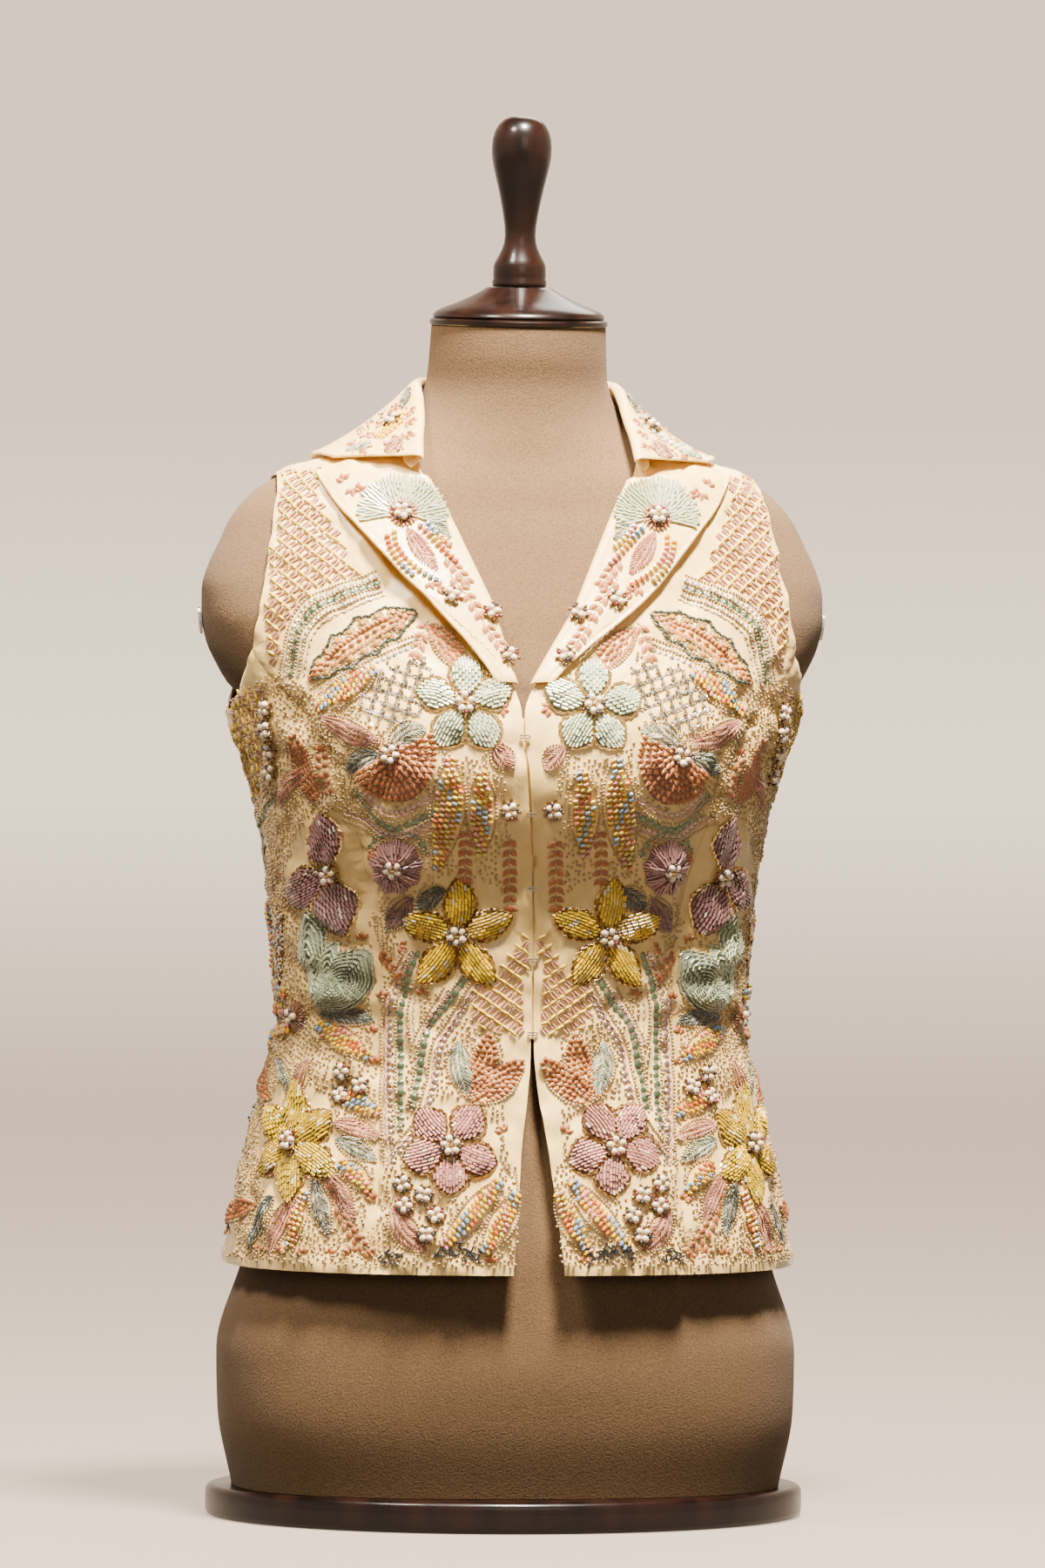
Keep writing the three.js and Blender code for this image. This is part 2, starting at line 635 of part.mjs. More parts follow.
function addLapels() {
  const rowCount = 13;
  const shares = [0.12, 0.3, 0.5, 0.75, 1];
  for (const { side, word } of SIDES) {
    const middle = range(rowCount + 1).map((r) => {
      const share = r / rowCount;
      const rollZ = THREE.MathUtils.lerp(LAPEL.breakZ, LAPEL.rollTopZ, share);
      const outerZ = THREE.MathUtils.lerp(LAPEL.breakZ, LAPEL.pointZ, share);
      const rollX = side * edgeOf(FRONT_EDGE, rollZ) + edgeOf(CLOSURE, rollZ);
      const outerX = side * edgeOf(LAPEL_EDGE, outerZ) + edgeOf(CLOSURE, outerZ);
      const spring = LAPEL_SPRING[side] * Math.sin(Math.PI * Math.min(share * 1.15, 1));
      const point = (x, z, lift) => clothPoint(angleAt(x, z, false), z, lift);
      return [
        point(rollX - side * LAPEL.roll, rollZ, 1.4),
        point(rollX - side * 0.25 * LAPEL.roll, rollZ, LAPEL.lift),
        ...shares.map((across) =>
          point(
            THREE.MathUtils.lerp(rollX, outerX, across),
            THREE.MathUtils.lerp(rollZ, outerZ, across),
            LAPEL.lift + 0.6 * Math.sin(Math.PI * across) + spring * across,
          ),
        ),
      ];
    });
    add(`lapel_${word}`, sheet(middle, LAPEL.thickness), SATIN);
  }
}

function collarSection({ seamAngle, seamZ, rollX, rollY, rollZ, edgeAngle, edgeZ, sag }, side) {
  const { seamLift, edgeLift, fold } = COLLAR_CLOTH;
  const bottom = clothPoint(placed(degrees(seamAngle), side, true), seamZ, seamLift);
  const roll = new THREE.Vector3(side * rollX, rollY, rollZ);
  const edge = clothPoint(placed(degrees(edgeAngle), side, true), edgeZ, edgeLift);
  const { out } = directionsAt(angleBehind(roll), rollZ, false);
  const up = roll.clone().sub(edge).projectOnPlane(out).normalize();
  const over = roll.clone().addScaledVector(out, fold);
  const top = roll.clone().addScaledVector(out, fold / 2).addScaledVector(up, fold / 2);
  const control = over.clone().lerp(edge, 0.5).addScaledVector(out, -sag);
  const fall = new THREE.QuadraticBezierCurve3(over, control, edge);
  return [bottom, roll, top, over, ...[0.33, 0.66, 1].map((share) => fall.getPoint(share))];
}

function addCollar() {
  const stations = COLLAR[COLLAR.length - 1].station;
  const half = (side) => range(stations + 1).map((station) => collarSection(rowAt(COLLAR, "station", station), side));
  add("collar", sheet([...half(-1), ...half(1).reverse().slice(1)], COLLAR_CLOTH.thickness), SATIN);
}

function addUnderlap() {
  const { thickness, halfWidth, bottom, top, gap } = UNDERLAP;
  const rowCount = 12;
  const middle = range(rowCount + 1).map((r) => {
    const z = THREE.MathUtils.lerp(bottom, top, r / rowCount);
    return [-1, -0.33, 0.33, 1].map((across) => {
      const x = edgeOf(CLOSURE, z) + across * halfWidth;
      return clothPoint(angleAt(x, z, false), z, -gap - thickness / 2);
    });
  });
  add("underlap", sheet(middle, thickness), SATIN);
}

function addHooks() {
  const { heights, length, width, thickness } = HOOK;
  heights.forEach((z, i) => {
    const outline = new THREE.Shape();
    outline.absarc(length / 2 - width / 2, 0, width / 2, -Math.PI / 2, Math.PI / 2);
    outline.absarc(width / 2 - length / 2, 0, width / 2, Math.PI / 2, 1.5 * Math.PI);
    const geometry = new THREE.ExtrudeGeometry(outline, { depth: thickness, bevelEnabled: false, curveSegments: 3 });
    const angle = angleAt(edgeOf(CLOSURE, z), z, false);
    const { round, up, out } = directionsAt(angle, z, true);
    const mesh = add(`hook_${i + 1}`, geometry, STEEL);
    mesh.quaternion.setFromRotationMatrix(new THREE.Matrix4().makeBasis(round, up, out));
    mesh.position.copy(clothPoint(angle, z, CLOTH + HOOK.gap));
  });
}

// ---------------------------------------------------------------- raised beadwork

const LIFT = 0.75; // gap under a piece of beadwork, more than the sag of the panel's flat faces

// A patch of beadwork on the cloth: rings of points round a centre, `reach` wide and `rise` thick in each direction.
function patch({ x, z, ground = CLOTH, rings = 2, spokes, reach, rise }) {
  const angle = angleAt(x, z, false);
  const centre = clothPoint(angle, z, 0);
  const { round, up } = directionsAt(angle, z, true);
  const point = (distance, direction, lift) => {
    const flat = centre
      .clone()
      .addScaledVector(round, distance * Math.cos(direction))
      .addScaledVector(up, distance * Math.sin(direction));
    return clothPoint(angleBehind(flat), flat.z, lift);
  };
  const points = [];
  const faces = [];
  for (const [side, rises] of [[0, true], [1, false]]) {
    const lift = (share, direction) => ground + LIFT + (rises ? rise(share, direction) : 0);
    const base = points.length;
    points.push(point(0, 0, lift(0, 0)));
    for (const ring of range(rings))
      for (const spoke of range(spokes)) {
        const share = (ring + 1) / rings;
        const direction = (2 * Math.PI * spoke) / spokes;
        points.push(point(share * reach(direction), direction, lift(share, direction)));
      }
    for (const spoke of range(spokes)) {
      const next = (spoke + 1) % spokes;
      const ringFaces = [[base, base + 1 + spoke, base + 1 + next]];
      for (const ring of range(rings - 1)) {
        const low = base + 1 + ring * spokes;
        ringFaces.push(...quad(low + spoke, low + spokes + spoke, low + spokes + next, low + next));
      }
      faces.push(...(side === 0 ? ringFaces : ringFaces.map(([a, b, c]) => [a, c, b])));
    }
  }
  const rim = 1 + (rings - 1) * spokes;
  const below = 1 + rings * spokes;
  for (const spoke of range(spokes)) {
    const next = (spoke + 1) % spokes;
    faces.push(...quad(rim + spoke, below + rim + spoke, below + rim + next, rim + next));
  }
  return solid(points, faces);
}

// Outline of a flower: a round lobe for each petal's direction, down to a core where they join.
const petalled = (radius, core, width, turns) => (direction) => {
  const lobes = turns.map((turn) => {
    const off = Math.abs(Math.atan2(Math.sin(direction - turn), Math.cos(direction - turn)));
    return Math.sqrt(Math.max(0, Math.cos(Math.min((off / width) * Math.PI, Math.PI / 2))));
  });
  return core + (radius - core) * Math.max(...lobes);
};
// A domed patch, thickest at its middle.
const domed = (thickness, rim) => (share) => rim + (thickness - rim) * (1 - share * share);

// `width` is the angle that a petal fills, and `turns` the directions of the petals, from the figure's side.
const FIVE = [90, 162, 234, 306, 18];
const FLOWERS = [
  { name: "flower_mint", x: 36, z: 463, radius: 25, width: 66, turns: FIVE, finish: MINT },
  { name: "flower_yellow", x: 42, z: 335, radius: 33, width: 62, turns: FIVE, finish: YELLOW },
  { name: "flower_pink", x: 46, z: 216, radius: 28, width: 68, turns: FIVE.map((turn) => turn + 36), finish: PINK },
  { name: "flower_side", x: 129, z: 216, radius: 33, width: 58, turns: [30, 90, 150, 210, 270, 330], finish: YELLOW },
  { name: "flower_mauve", x: 111, z: 368, radius: 36, width: 76, turns: [72, 340, 248], finish: MAUVE },
  { name: "bloom_mint", x: 108, z: 306, radius: 27, width: 96, turns: [80, 170], finish: MINT },
];
const BUTTONS = [
  { name: "rosette", x: 76, z: 374, radius: 15, spokes: 16, thickness: 7, finish: MAUVE },
  { name: "floret", x: 125, z: 287, radius: 8, spokes: 10, thickness: 5, finish: CORAL },
  { name: "fan", x: 76, z: 427, radius: 18, spokes: 16, thickness: 3, finish: CORAL },
];
const FLOWER = { thickness: 4.5, rim: 1.2, core: 7, spokes: 25 };
const PEARL_CLUSTER = { radius: 7.5, thickness: 5.5, rim: 1.5, spokes: 8 };
// Places of pearl clusters, grouped as they touch one another.
const PEARL_GROUPS = [
  { name: "pearls_closure", places: [{ x: 12.5, z: 406 }] },
  {
    name: "pearls_hem",
    places: [
      { x: 72, z: 195 },
      { x: 61, z: 189 },
      { x: 71, z: 183 },
      { x: 55, z: 178 },
      { x: 60, z: 167 },
    ],
  },
  {
    name: "pearls_waist",
    places: [
      { x: 102, z: 256 },
      { x: 93, z: 249 },
      { x: 104, z: 244 },
    ],
  },
  {
    name: "pearls_side",
    places: [
      { x: 145, z: 462 },
      { x: 144, z: 450 },
      { x: 143, z: 438 },
      { x: 141, z: 426 },
    ],
  },
];

// The closure's wander moves what lies near it, less and less away from it.
const drift = (x, z) => edgeOf(CLOSURE, z) * Math.max(0, 1 - x / 90);

function addBeadwork() {
  for (const { side, word } of SIDES) {
    const mirrored = (turn) => (side > 0 ? degrees(turn) : Math.PI - degrees(turn));
    const at = (x, z) => ({ x: side * x + drift(x, z), z });
    for (const { name, x, z, radius, width, turns, finish } of FLOWERS) {
      const reach = petalled(radius, FLOWER.core, degrees(width), turns.map(mirrored));
      const rise = domed(FLOWER.thickness, FLOWER.rim);
      add(`${name}_${word}`, patch({ ...at(x, z), spokes: FLOWER.spokes, reach, rise }), finish);
    }
    for (const { name, x, z, radius, spokes, thickness, finish } of BUTTONS) {
      const rise = domed(thickness, FLOWER.rim);
      add(`${name}_${word}`, patch({ ...at(x, z), spokes, reach: () => radius, rise }), finish);
    }
    const { radius, thickness, rim, spokes } = PEARL_CLUSTER;
    for (const { name, places } of PEARL_GROUPS) {
      const clusters = places.map(({ x, z }) =>
        patch({ ...at(x, z), spokes, reach: () => radius, rise: domed(thickness, rim) }),
      );
      add(`${name}_${word}`, join(clusters), PEARL);
    }
  }
}

addForm();
addBoard();
addCap();
addArmPlates();
addPanels();
addLapels();
addCollar();
addUnderlap();
addHooks();
addBeadwork();

export default group;
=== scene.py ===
import math

import bpy
import numpy as np
from mathutils import Matrix, Vector


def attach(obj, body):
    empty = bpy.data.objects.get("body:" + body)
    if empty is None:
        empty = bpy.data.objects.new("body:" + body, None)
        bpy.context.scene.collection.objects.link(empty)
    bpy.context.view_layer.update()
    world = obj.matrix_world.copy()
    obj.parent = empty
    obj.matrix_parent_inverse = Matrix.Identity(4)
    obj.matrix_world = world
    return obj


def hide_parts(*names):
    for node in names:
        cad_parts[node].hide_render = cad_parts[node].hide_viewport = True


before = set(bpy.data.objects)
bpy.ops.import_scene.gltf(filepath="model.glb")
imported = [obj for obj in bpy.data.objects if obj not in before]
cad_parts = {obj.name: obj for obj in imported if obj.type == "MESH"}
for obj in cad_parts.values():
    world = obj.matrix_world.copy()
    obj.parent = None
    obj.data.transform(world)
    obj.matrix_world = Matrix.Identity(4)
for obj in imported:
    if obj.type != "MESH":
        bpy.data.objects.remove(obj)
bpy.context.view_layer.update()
bpy.ops.object.select_all(action="DESELECT")

# ---------------------------------------------------------------- camera and studio
# The camera stands level, a little to the viewer's left of the front, far enough away for a long lens.
# The key lamp hangs high over the front, with a weaker one to the viewer's left, a wide faint one far out in
# front and one behind.
AZIMUTH = math.radians(-7)
CAMERA_AWAY = 4.5
CAMERA_HEIGHT = 0.42
CAMERA_ASIDE = 0.006  # the object stands a little left of the middle
CAMERA_ROLL = math.radians(0.5)
SEEN_HEIGHT = 0.9
SENSOR = 36
LAMPS_AIM = (0, 0, 0.42)

forward = Vector((-math.sin(AZIMUTH), math.cos(AZIMUTH), 0))
right = Vector((forward.y, -forward.x, 0))
camera_data = bpy.data.cameras.new("camera")
camera_data.sensor_width = SENSOR
camera_data.lens = SENSOR * CAMERA_AWAY / SEEN_HEIGHT
camera_data.clip_end = 100
camera = bpy.data.objects.new("camera", camera_data)
bpy.context.scene.collection.objects.link(camera)
facing = Matrix((right, Vector((0, 0, 1)), -forward)).transposed()
camera.matrix_world = (
    Matrix.Translation(right * CAMERA_ASIDE - forward * CAMERA_AWAY + Vector((0, 0, CAMERA_HEIGHT)))
    @ facing.to_4x4()
    @ Matrix.Rotation(CAMERA_ROLL, 4, "Z")
)
bpy.context.scene.camera = camera


def soft_box(name, place, size, power, colour):
    light = bpy.data.lights.new(name, "AREA")
    light.shape = "DISK"
    light.size = size
    light.energy = power
    light.color = colour
    lamp = bpy.data.objects.new(name, light)
    lamp.location = place
    lamp.rotation_euler = (Vector(LAMPS_AIM) - Vector(place)).to_track_quat("-Z", "Y").to_euler()
    bpy.context.scene.collection.objects.link(lamp)


WARM = (1, 0.90, 0.78)
soft_box("key_light", (0.12, -0.62, 2.0), 0.35, 315, WARM)
soft_box("second_light", (-0.75, -0.66, 1.9), 0.4, 60, WARM)
soft_box("fill_light", (0.3, -3.6, 1.6), 1.8, 26, WARM)
soft_box("back_light", (0.8, 2.4, 2.6), 1.4, 50, WARM)

world = bpy.data.worlds.new("studio")
world.use_nodes = True
studio_light = world.node_tree.nodes["Background"]
studio_light.inputs["Color"].default_value = (0.82, 0.74, 0.66, 1)
studio_light.inputs["Strength"].default_value = 0.11
bpy.context.scene.world = world


# ---------------------------------------------------------------- floor and backdrop
# A studio floor that sweeps up into a wall all round, far enough out to stand clear of any camera. It is one
# sheet, turned about the upright axis, painted dark. Its pale look is painted light: it glows the same from
# every side, brightest 0.42 m up and darker at the floor and above a metre, and gives no diffuse light to the
# body.
SWEEP = {"floor": 5.6, "wall": 9.0, "height": 7.0}


def nodes_of(finish):
    tree = finish.node_tree
    return tree.nodes, tree.links, tree.nodes["Principled BSDF"]


def finish_of(name, colour, roughness, **sockets):
    """A new material, with the sockets that are the same all over."""
    finish = bpy.data.materials.new(name)
    finish.use_nodes = True
    shader = nodes_of(finish)[2]
    shader.inputs["Base Color"].default_value = (*colour, 1)
    shader.inputs["Roughness"].default_value = roughness
    for socket, value in sockets.items():
        shader.inputs[socket.replace("_", " ")].default_value = value
    return finish


def alone(piece):
    """Selects one piece and nothing else."""
    bpy.ops.object.select_all(action="DESELECT")
    piece.select_set(True)
    bpy.context.view_layer.objects.active = piece


def sweep_profile():
    rounding = SWEEP["wall"] - SWEEP["floor"]
    bends = [math.radians(6 * i) for i in range(16)]
    curve = [(SWEEP["floor"] + rounding * math.sin(a), rounding * (1 - math.cos(a))) for a in bends]
    return [(0.001, 0), *curve, (SWEEP["wall"], SWEEP["height"])]


sweep_mesh = bpy.data.meshes.new("backdrop")
profile = sweep_profile()
sweep_mesh.from_pydata([(r, 0, z) for r, z in profile], [(i, i + 1) for i in range(len(profile) - 1)], [])
backdrop = bpy.data.objects.new("backdrop", sweep_mesh)
bpy.context.scene.collection.objects.link(backdrop)
turn = backdrop.modifiers.new("turn", "SCREW")
turn.steps = turn.render_steps = 96
turn.use_merge_vertices = True
alone(backdrop)
bpy.ops.object.modifier_apply(modifier="turn")
backdrop_paint_and_painted_light = finish_of("backdrop_paint_and_painted_light", (0.15, 0.124, 0.10), 0.9)
nodes, links, shader = nodes_of(backdrop_paint_and_painted_light)
paint_place, paint_height = nodes.new("ShaderNodeTexCoord"), nodes.new("ShaderNodeSeparateXYZ")
# Painted light: the glow is brightest 0.42 m up and darker at the floor and above a metre.
painted_light_ramp = nodes.new("ShaderNodeValToRGB")
painted_light_ramp.color_ramp.elements.new(0.42)
painted_light_colours = ((0.46, 0.355, 0.26), (1.0, 0.80, 0.605), (0.70, 0.555, 0.42))
for stop, colour in zip(painted_light_ramp.color_ramp.elements, painted_light_colours):
    stop.color = (*colour, 1)
links.new(paint_place.outputs["Object"], paint_height.inputs["Vector"])
links.new(paint_height.outputs["Z"], painted_light_ramp.inputs["Fac"])
links.new(painted_light_ramp.outputs["Color"], shader.inputs["Emission Color"])
shader.inputs["Emission Strength"].default_value = 2.0
backdrop.data.materials.append(backdrop_paint_and_painted_light)
backdrop.visible_diffuse = False


# ---------------------------------------------------------------- dress form body
# A moulded hollow body without arms or head, covered in a brushed beige jersey that is stretched on.
# The cover is one closed shape, lofted through the figure's sections.
MM = 0.001


def table(columns, *rows):
    """A table of named columns, as arrays."""
    return dict(zip(columns.split(), np.array(rows, float).T))


FIGURE = table(
    "z half_width front back widest power",
    (18.3, 157, -97, 115, 6, 2.5),
    (60, 165, -105, 127, 8, 2.5),
    (95, 166, -108, 131, 9, 2.4),
    (145, 152, -106, 124, 8, 2.35),
    (200, 139, -98, 104, 5, 2.3),
    (240, 129, -91, 90, 2, 2.25),
    (285, 121, -86, 80, 0, 2.2),
    (320, 123, -88, 78, 0, 2.2),
    (360, 130, -95, 81, 0, 2.25),
    (400, 138, -103, 87, 0, 2.3),
    (430, 144, -106, 92, 0, 2.3),
    (452, 147, -106, 96, 1, 2.3),
    (463, 150, -105, 97, 2, 2.3),
    (470, 157, -103, 98, 2, 2.3),
    (477, 164, -102, 99, 3, 2.3),
    (487, 170, -99, 100, 3, 2.3),
    (500, 176, -95, 101, 4, 2.3),
    (515, 179, -91, 101, 4, 2.3),
    (530, 179, -86, 101, 5, 2.25),
    (545, 175, -81, 99, 6, 2.2),
    (560, 168, -76, 96, 6, 2.15),
    (568, 164.5, -73, 94, 7, 2.12),
    (576, 159.5, -70, 91, 7, 2.1),
    (583, 153.5, -68, 88, 8, 2.07),
    (589.5, 146, -66, 84.5, 8, 2.04),
    (594, 138, -64.5, 81.5, 8, 2.02),
    (598, 127, -63, 79, 8, 2),
    (601.5, 113, -62, 76.5, 8, 2),
    (605, 100, -61, 74, 7, 2),
    (611, 86, -60, 70, 6, 2),
    (617, 76, -59, 65, 5, 2),
    (624, 67, -58, 60, 3, 2),
    (632, 60, -57.5, 54.5, 1, 2),
    (641, 55, -57.5, 50, -2, 2),
    (651, 52, -58.5, 46, -6, 2),
    (662, 51, -60.5, 43, -9, 2),
    (682, 50, -62, 38, -12, 2),
)
EASE = table(
    "z side front back",
    (140, 9, 12, 8),
    (200, 13, 12, 10),
    (240, 13, 10, 12),
    (285, 11, 9, 12),
    (320, 11, 8, 10),
    (360, 7.5, 6, 6),
    (400, 6, 6, 3),
    (430, 8, 6, 2.5),
    (452, 13.5, 6, 2.5),
    (463, 13, 6, 2.5),
    (470, 8, 6, 2.5),
    (477, 5, 5.5, 2.5),
    (500, 4, 5, 2.5),
    (530, 3.5, 4, 2.2),
    (560, 3, 3, 2.2),
    (586, 3.4, 2.5, 2.3),
    (594, 5, 2.6, 2.6),
    (600, 7, 3, 3),
    (605, 7, 3.2, 3.4),
    (612, 5, 3.4, 3.8),
    (630, 4.2, 4, 4.6),
)
NECK_TOP = 682
NECK_TILT = math.tan(math.radians(4.5))
BUST = {"x": 88, "z": 430, "out": 18, "spread_x": 46, "spread_up": 58, "spread_down": 50, "bridge": 0.35}


def value_at(rows, key, column, at):
    """A column of a table where `key` is `at`, on a smooth curve that never overshoots its rows."""
    keys, values = rows[key], rows[column]
    at = np.clip(np.asarray(at, float), keys[0], keys[-1])
    i = np.clip(np.searchsorted(keys, at, "right") - 1, 0, len(keys) - 2)
    rise = np.diff(values) / np.diff(keys)
    before, after = rise[:-1], rise[1:]
    both = np.where(before * after > 0, before + after, 1)
    slope = np.concatenate([rise[:1], np.where(before * after > 0, 2 * before * after / both, 0), rise[-1:]])
    step = keys[i + 1] - keys[i]
    t = (at - keys[i]) / step
    rest = 1 - t
    return (
        values[i] * rest * rest * (1 + 2 * t)
        + values[i + 1] * t * t * (3 - 2 * t)
        + slope[i] * step * t * rest * rest
        - slope[i + 1] * step * t * t * rest
    )


def smooth_step(value, low, high):
    share = np.clip((value - low) / (high - low), 0, 1)
    return share * share * (3 - 2 * share)


def section_at(z, eased):
    half_width, front, back, widest, power = (
        value_at(FIGURE, "z", column, z) for column in ("half_width", "front", "back", "widest", "power")
    )
    front_depth, back_depth = widest - front, back - widest
    if eased:
        half_width = half_width + value_at(EASE, "z", "side", z)
        front_depth = front_depth + value_at(EASE, "z", "front", z)
        back_depth = back_depth + value_at(EASE, "z", "back", z)
    return half_width, front_depth, back_depth, widest, power


def bust_at(x, z, eased):
    beyond = np.abs(x) - BUST["x"]
    spread_z = np.where(z > BUST["z"], BUST["spread_up"], BUST["spread_down"])
    across = np.exp(-((beyond / BUST["spread_x"]) ** 2))
    if eased:
        across = np.where(beyond < 0, 1 - BUST["bridge"] * (beyond / BUST["x"]) ** 2, across)
    return BUST["out"] * across * np.exp(-(((z - BUST["z"]) / spread_z) ** 2))


def surface(angle, z, eased):
    """A point of the figure, or of the inside of the cloth on it. Angle 0 is the figure's left side."""
    angle, z = np.broadcast_arrays(np.asarray(angle, float), np.asarray(z, float))
    half_width, front_depth, back_depth, widest, power = section_at(z, eased)
    across, along = np.cos(angle), np.sin(angle)
    bend = 2 / power
    x = half_width * np.sign(across) * np.abs(across) ** bend
    depth = np.where(along < 0, front_depth, back_depth)
    y = widest + depth * np.sign(along) * np.abs(along) ** bend
    y = y - np.where(along < 0, bust_at(x, z, eased) * along * along, 0)
    return np.stack([x, y, z + (y - widest) * NECK_TILT * smooth_step(z, 648, NECK_TOP)], -1)


def unit(vectors):
    return vectors / np.maximum(np.linalg.norm(vectors, axis=-1, keepdims=True), 1e-9)


def directions_at(angle, z, eased):
    """Directions on the surface: round the figure, up it, and out of it."""
    around = unit(surface(angle + 0.004, z, eased) - surface(angle - 0.004, z, eased))
    rising = unit(surface(angle, z + 0.5, eased) - surface(angle, z - 0.5, eased))
    out = unit(np.cross(around, rising))
    return around, np.cross(out, around), out


def piece_of(name, points, faces, finish, angle=None):
    """A new mesh piece, from points in millimetres. It rides on the one body there is."""
    mesh = bpy.data.meshes.new(name)
    mesh.from_pydata(np.asarray(points, float) * MM, [], faces)
    mesh.validate()
    mesh.shade_smooth()
    piece = bpy.data.objects.new(name, mesh)
    bpy.context.scene.collection.objects.link(piece)
    piece.data.materials.append(finish)
    if angle is not None:
        alone(piece)
        bpy.ops.object.shade_smooth_by_angle(angle=math.radians(angle))
    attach(piece, "root")
    return piece


def tube_faces(rings, count):
    """Faces of a closed tube of rings of points, with a point at each end."""
    ring, i = np.meshgrid(np.arange(rings - 1), np.arange(count), indexing="ij")
    after = (i + 1) % count
    low, high = ring * count, (ring + 1) * count
    faces = np.stack([low + i, low + after, high + after, high + i], -1).reshape(-1, 4).tolist()
    first, last = rings * count, rings * count + 1
    top = (rings - 1) * count
    for i in range(count):
        after = (i + 1) % count
        faces.append([after, i, first])
        faces.append([top + i, top + after, last])
    return faces


def textured(finish, scale, strength, distance, stretch=(1, 1, 1), detail=3.0, tint=None):
    """Adds fine relief to a finish, and with `tint` two colours that the same pattern mixes."""
    nodes, links, shader = nodes_of(finish)
    place = nodes.new("ShaderNodeTexCoord")
    mapping = nodes.new("ShaderNodeMapping")
    mapping.inputs["Scale"].default_value = stretch
    noise = nodes.new("ShaderNodeTexNoise")
    noise.inputs["Scale"].default_value = scale
    noise.inputs["Detail"].default_value = detail
    bump = nodes.new("ShaderNodeBump")
    bump.inputs["Strength"].default_value = strength
    bump.inputs["Distance"].default_value = distance
    links.new(place.outputs["Object"], mapping.inputs["Vector"])
    links.new(mapping.outputs["Vector"], noise.inputs["Vector"])
    links.new(noise.outputs["Fac"], bump.inputs["Height"])
    links.new(bump.outputs["Normal"], shader.inputs["Normal"])
    if tint:
        ramp = nodes.new("ShaderNodeValToRGB")
        for stop, position, colour in zip(ramp.color_ramp.elements, (0.36, 0.64), tint):
            stop.position, stop.color = position, (*colour, 1)
        links.new(noise.outputs["Fac"], ramp.inputs["Fac"])
        links.new(ramp.outputs["Color"], shader.inputs["Base Color"])


jersey = finish_of(
    "jersey", (0.125, 0.072, 0.032), 0.95, Sheen_Weight=0.03, Sheen_Roughness=0.6, Specular_IOR_Level=0.2
)
textured(jersey, 900, 0.5, 0.0006, detail=4.0, tint=((0.10, 0.057, 0.025), (0.15, 0.088, 0.040)))

FORM_COLUMNS = 112
FORM_STEP = 6


def form_points():
    heights = np.concatenate(
        [
            np.linspace(low, high, max(2, math.ceil((high - low) / FORM_STEP) + 1))[:-1]
            for low, high in zip(FIGURE["z"], FIGURE["z"][1:])
        ]
        + [[NECK_TOP]]
    )
    angles = np.linspace(0, 2 * np.pi, FORM_COLUMNS, endpoint=False)
    grid_z, grid_angle = np.meshgrid(heights, angles, indexing="ij")
    ends = [(0, FIGURE["widest"][0], heights[0]), (0, FIGURE["widest"][-1], NECK_TOP)]
    return np.concatenate([surface(grid_angle, grid_z, False).reshape(-1, 3), ends]), len(heights)


points, rings = form_points()
form_cover = piece_of("form_cover", points, tube_faces(rings, FORM_COLUMNS), jersey, angle=50)
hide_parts("form_body")

# ---------------------------------------------------------------- base board, neck cap and handle
# Turned and shaped beech, stained almost black over red and lacquered to a shine. The cap and its handle are
# turned and screwed down on the neck; the board carries the body. An oval steel plate closes each arm.
WOOD_DARK, WOOD_RED = (0.0016, 0.0008, 0.0006), (0.011, 0.0038, 0.0022)
lacquered_wood = finish_of(
    "lacquered_wood", WOOD_DARK, 0.3, Specular_IOR_Level=0.12, Coat_Weight=0.16, Coat_Roughness=0.07
)
textured(lacquered_wood, 9, 0.12, 0.0005, stretch=(6, 6, 1.2), detail=5.0, tint=(WOOD_DARK, WOOD_RED))
CAP = table(
    "radius height",
    (0, 0), (50.4, 0), (51, 0.6), (51, 2.6), (50.2, 3.4), (48.6, 4.0), (49.2, 5.0), (48.8, 6.4), (46.6, 8.2),
    (42.0, 10.4), (36.5, 12.5), (31.0, 14.9), (26.0, 17.3), (22.0, 19.4), (19.6, 20.9), (18.3, 21.9),
    (0, 21.9),
)  # fmt: skip
HANDLE = table(
    "radius height",
    (0, 0), (15.0, 0), (15.6, 0.8), (15.6, 3.2), (15.0, 4.4), (15.2, 6.5), (15.0, 11.6), (14.4, 13.6),
    (13.3, 15.6), (11.9, 18.2), (10.4, 21.4), (9.3, 24.6), (8.8, 29), (9.1, 34.4), (10.1, 41), (11.5, 48.7),
    (13.1, 56), (14.8, 63), (16.2, 69), (17.0, 74), (17.2, 79), (16.8, 84), (15.6, 88.4), (13.6, 92.2),
    (10.6, 95.2), (6.5, 97), (0, 97.6),
)  # fmt: skip
TURNED_COUNT = 64
SEAT_GAP = 0.3


def ovals(insets, heights, half_width, half_depth, middle, count):
    """Rings of points one over another, each an oval that is drawn in by its inset."""
    angles = np.linspace(0, 2 * np.pi, count, endpoint=False)
    x, y = np.cos(angles), np.sin(angles)
    return [
        np.stack([(half_width - i) * x, middle + (half_depth - i) * y, np.full(count, z)], -1)
        for i, z in zip(insets, heights)
    ]


def turned(name, rows, base, node):
    """A shape turned about its own axis, which leans with the neck's top."""
    radii, heights = rows["radius"][1:-1], rows["height"][1:-1]
    rings = ovals(-radii, heights, 0, 0, 0, TURNED_COUNT)
    points = np.concatenate([*rings, [(0, 0, heights[0]), (0, 0, heights[-1])]])
    lean = np.array(Matrix.Rotation(neck_tilt, 3, "X"))
    faces = tube_faces(len(radii), TURNED_COUNT)
    piece = piece_of(name, points @ lean.T + base, faces, lacquered_wood, angle=40)
    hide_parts(node)


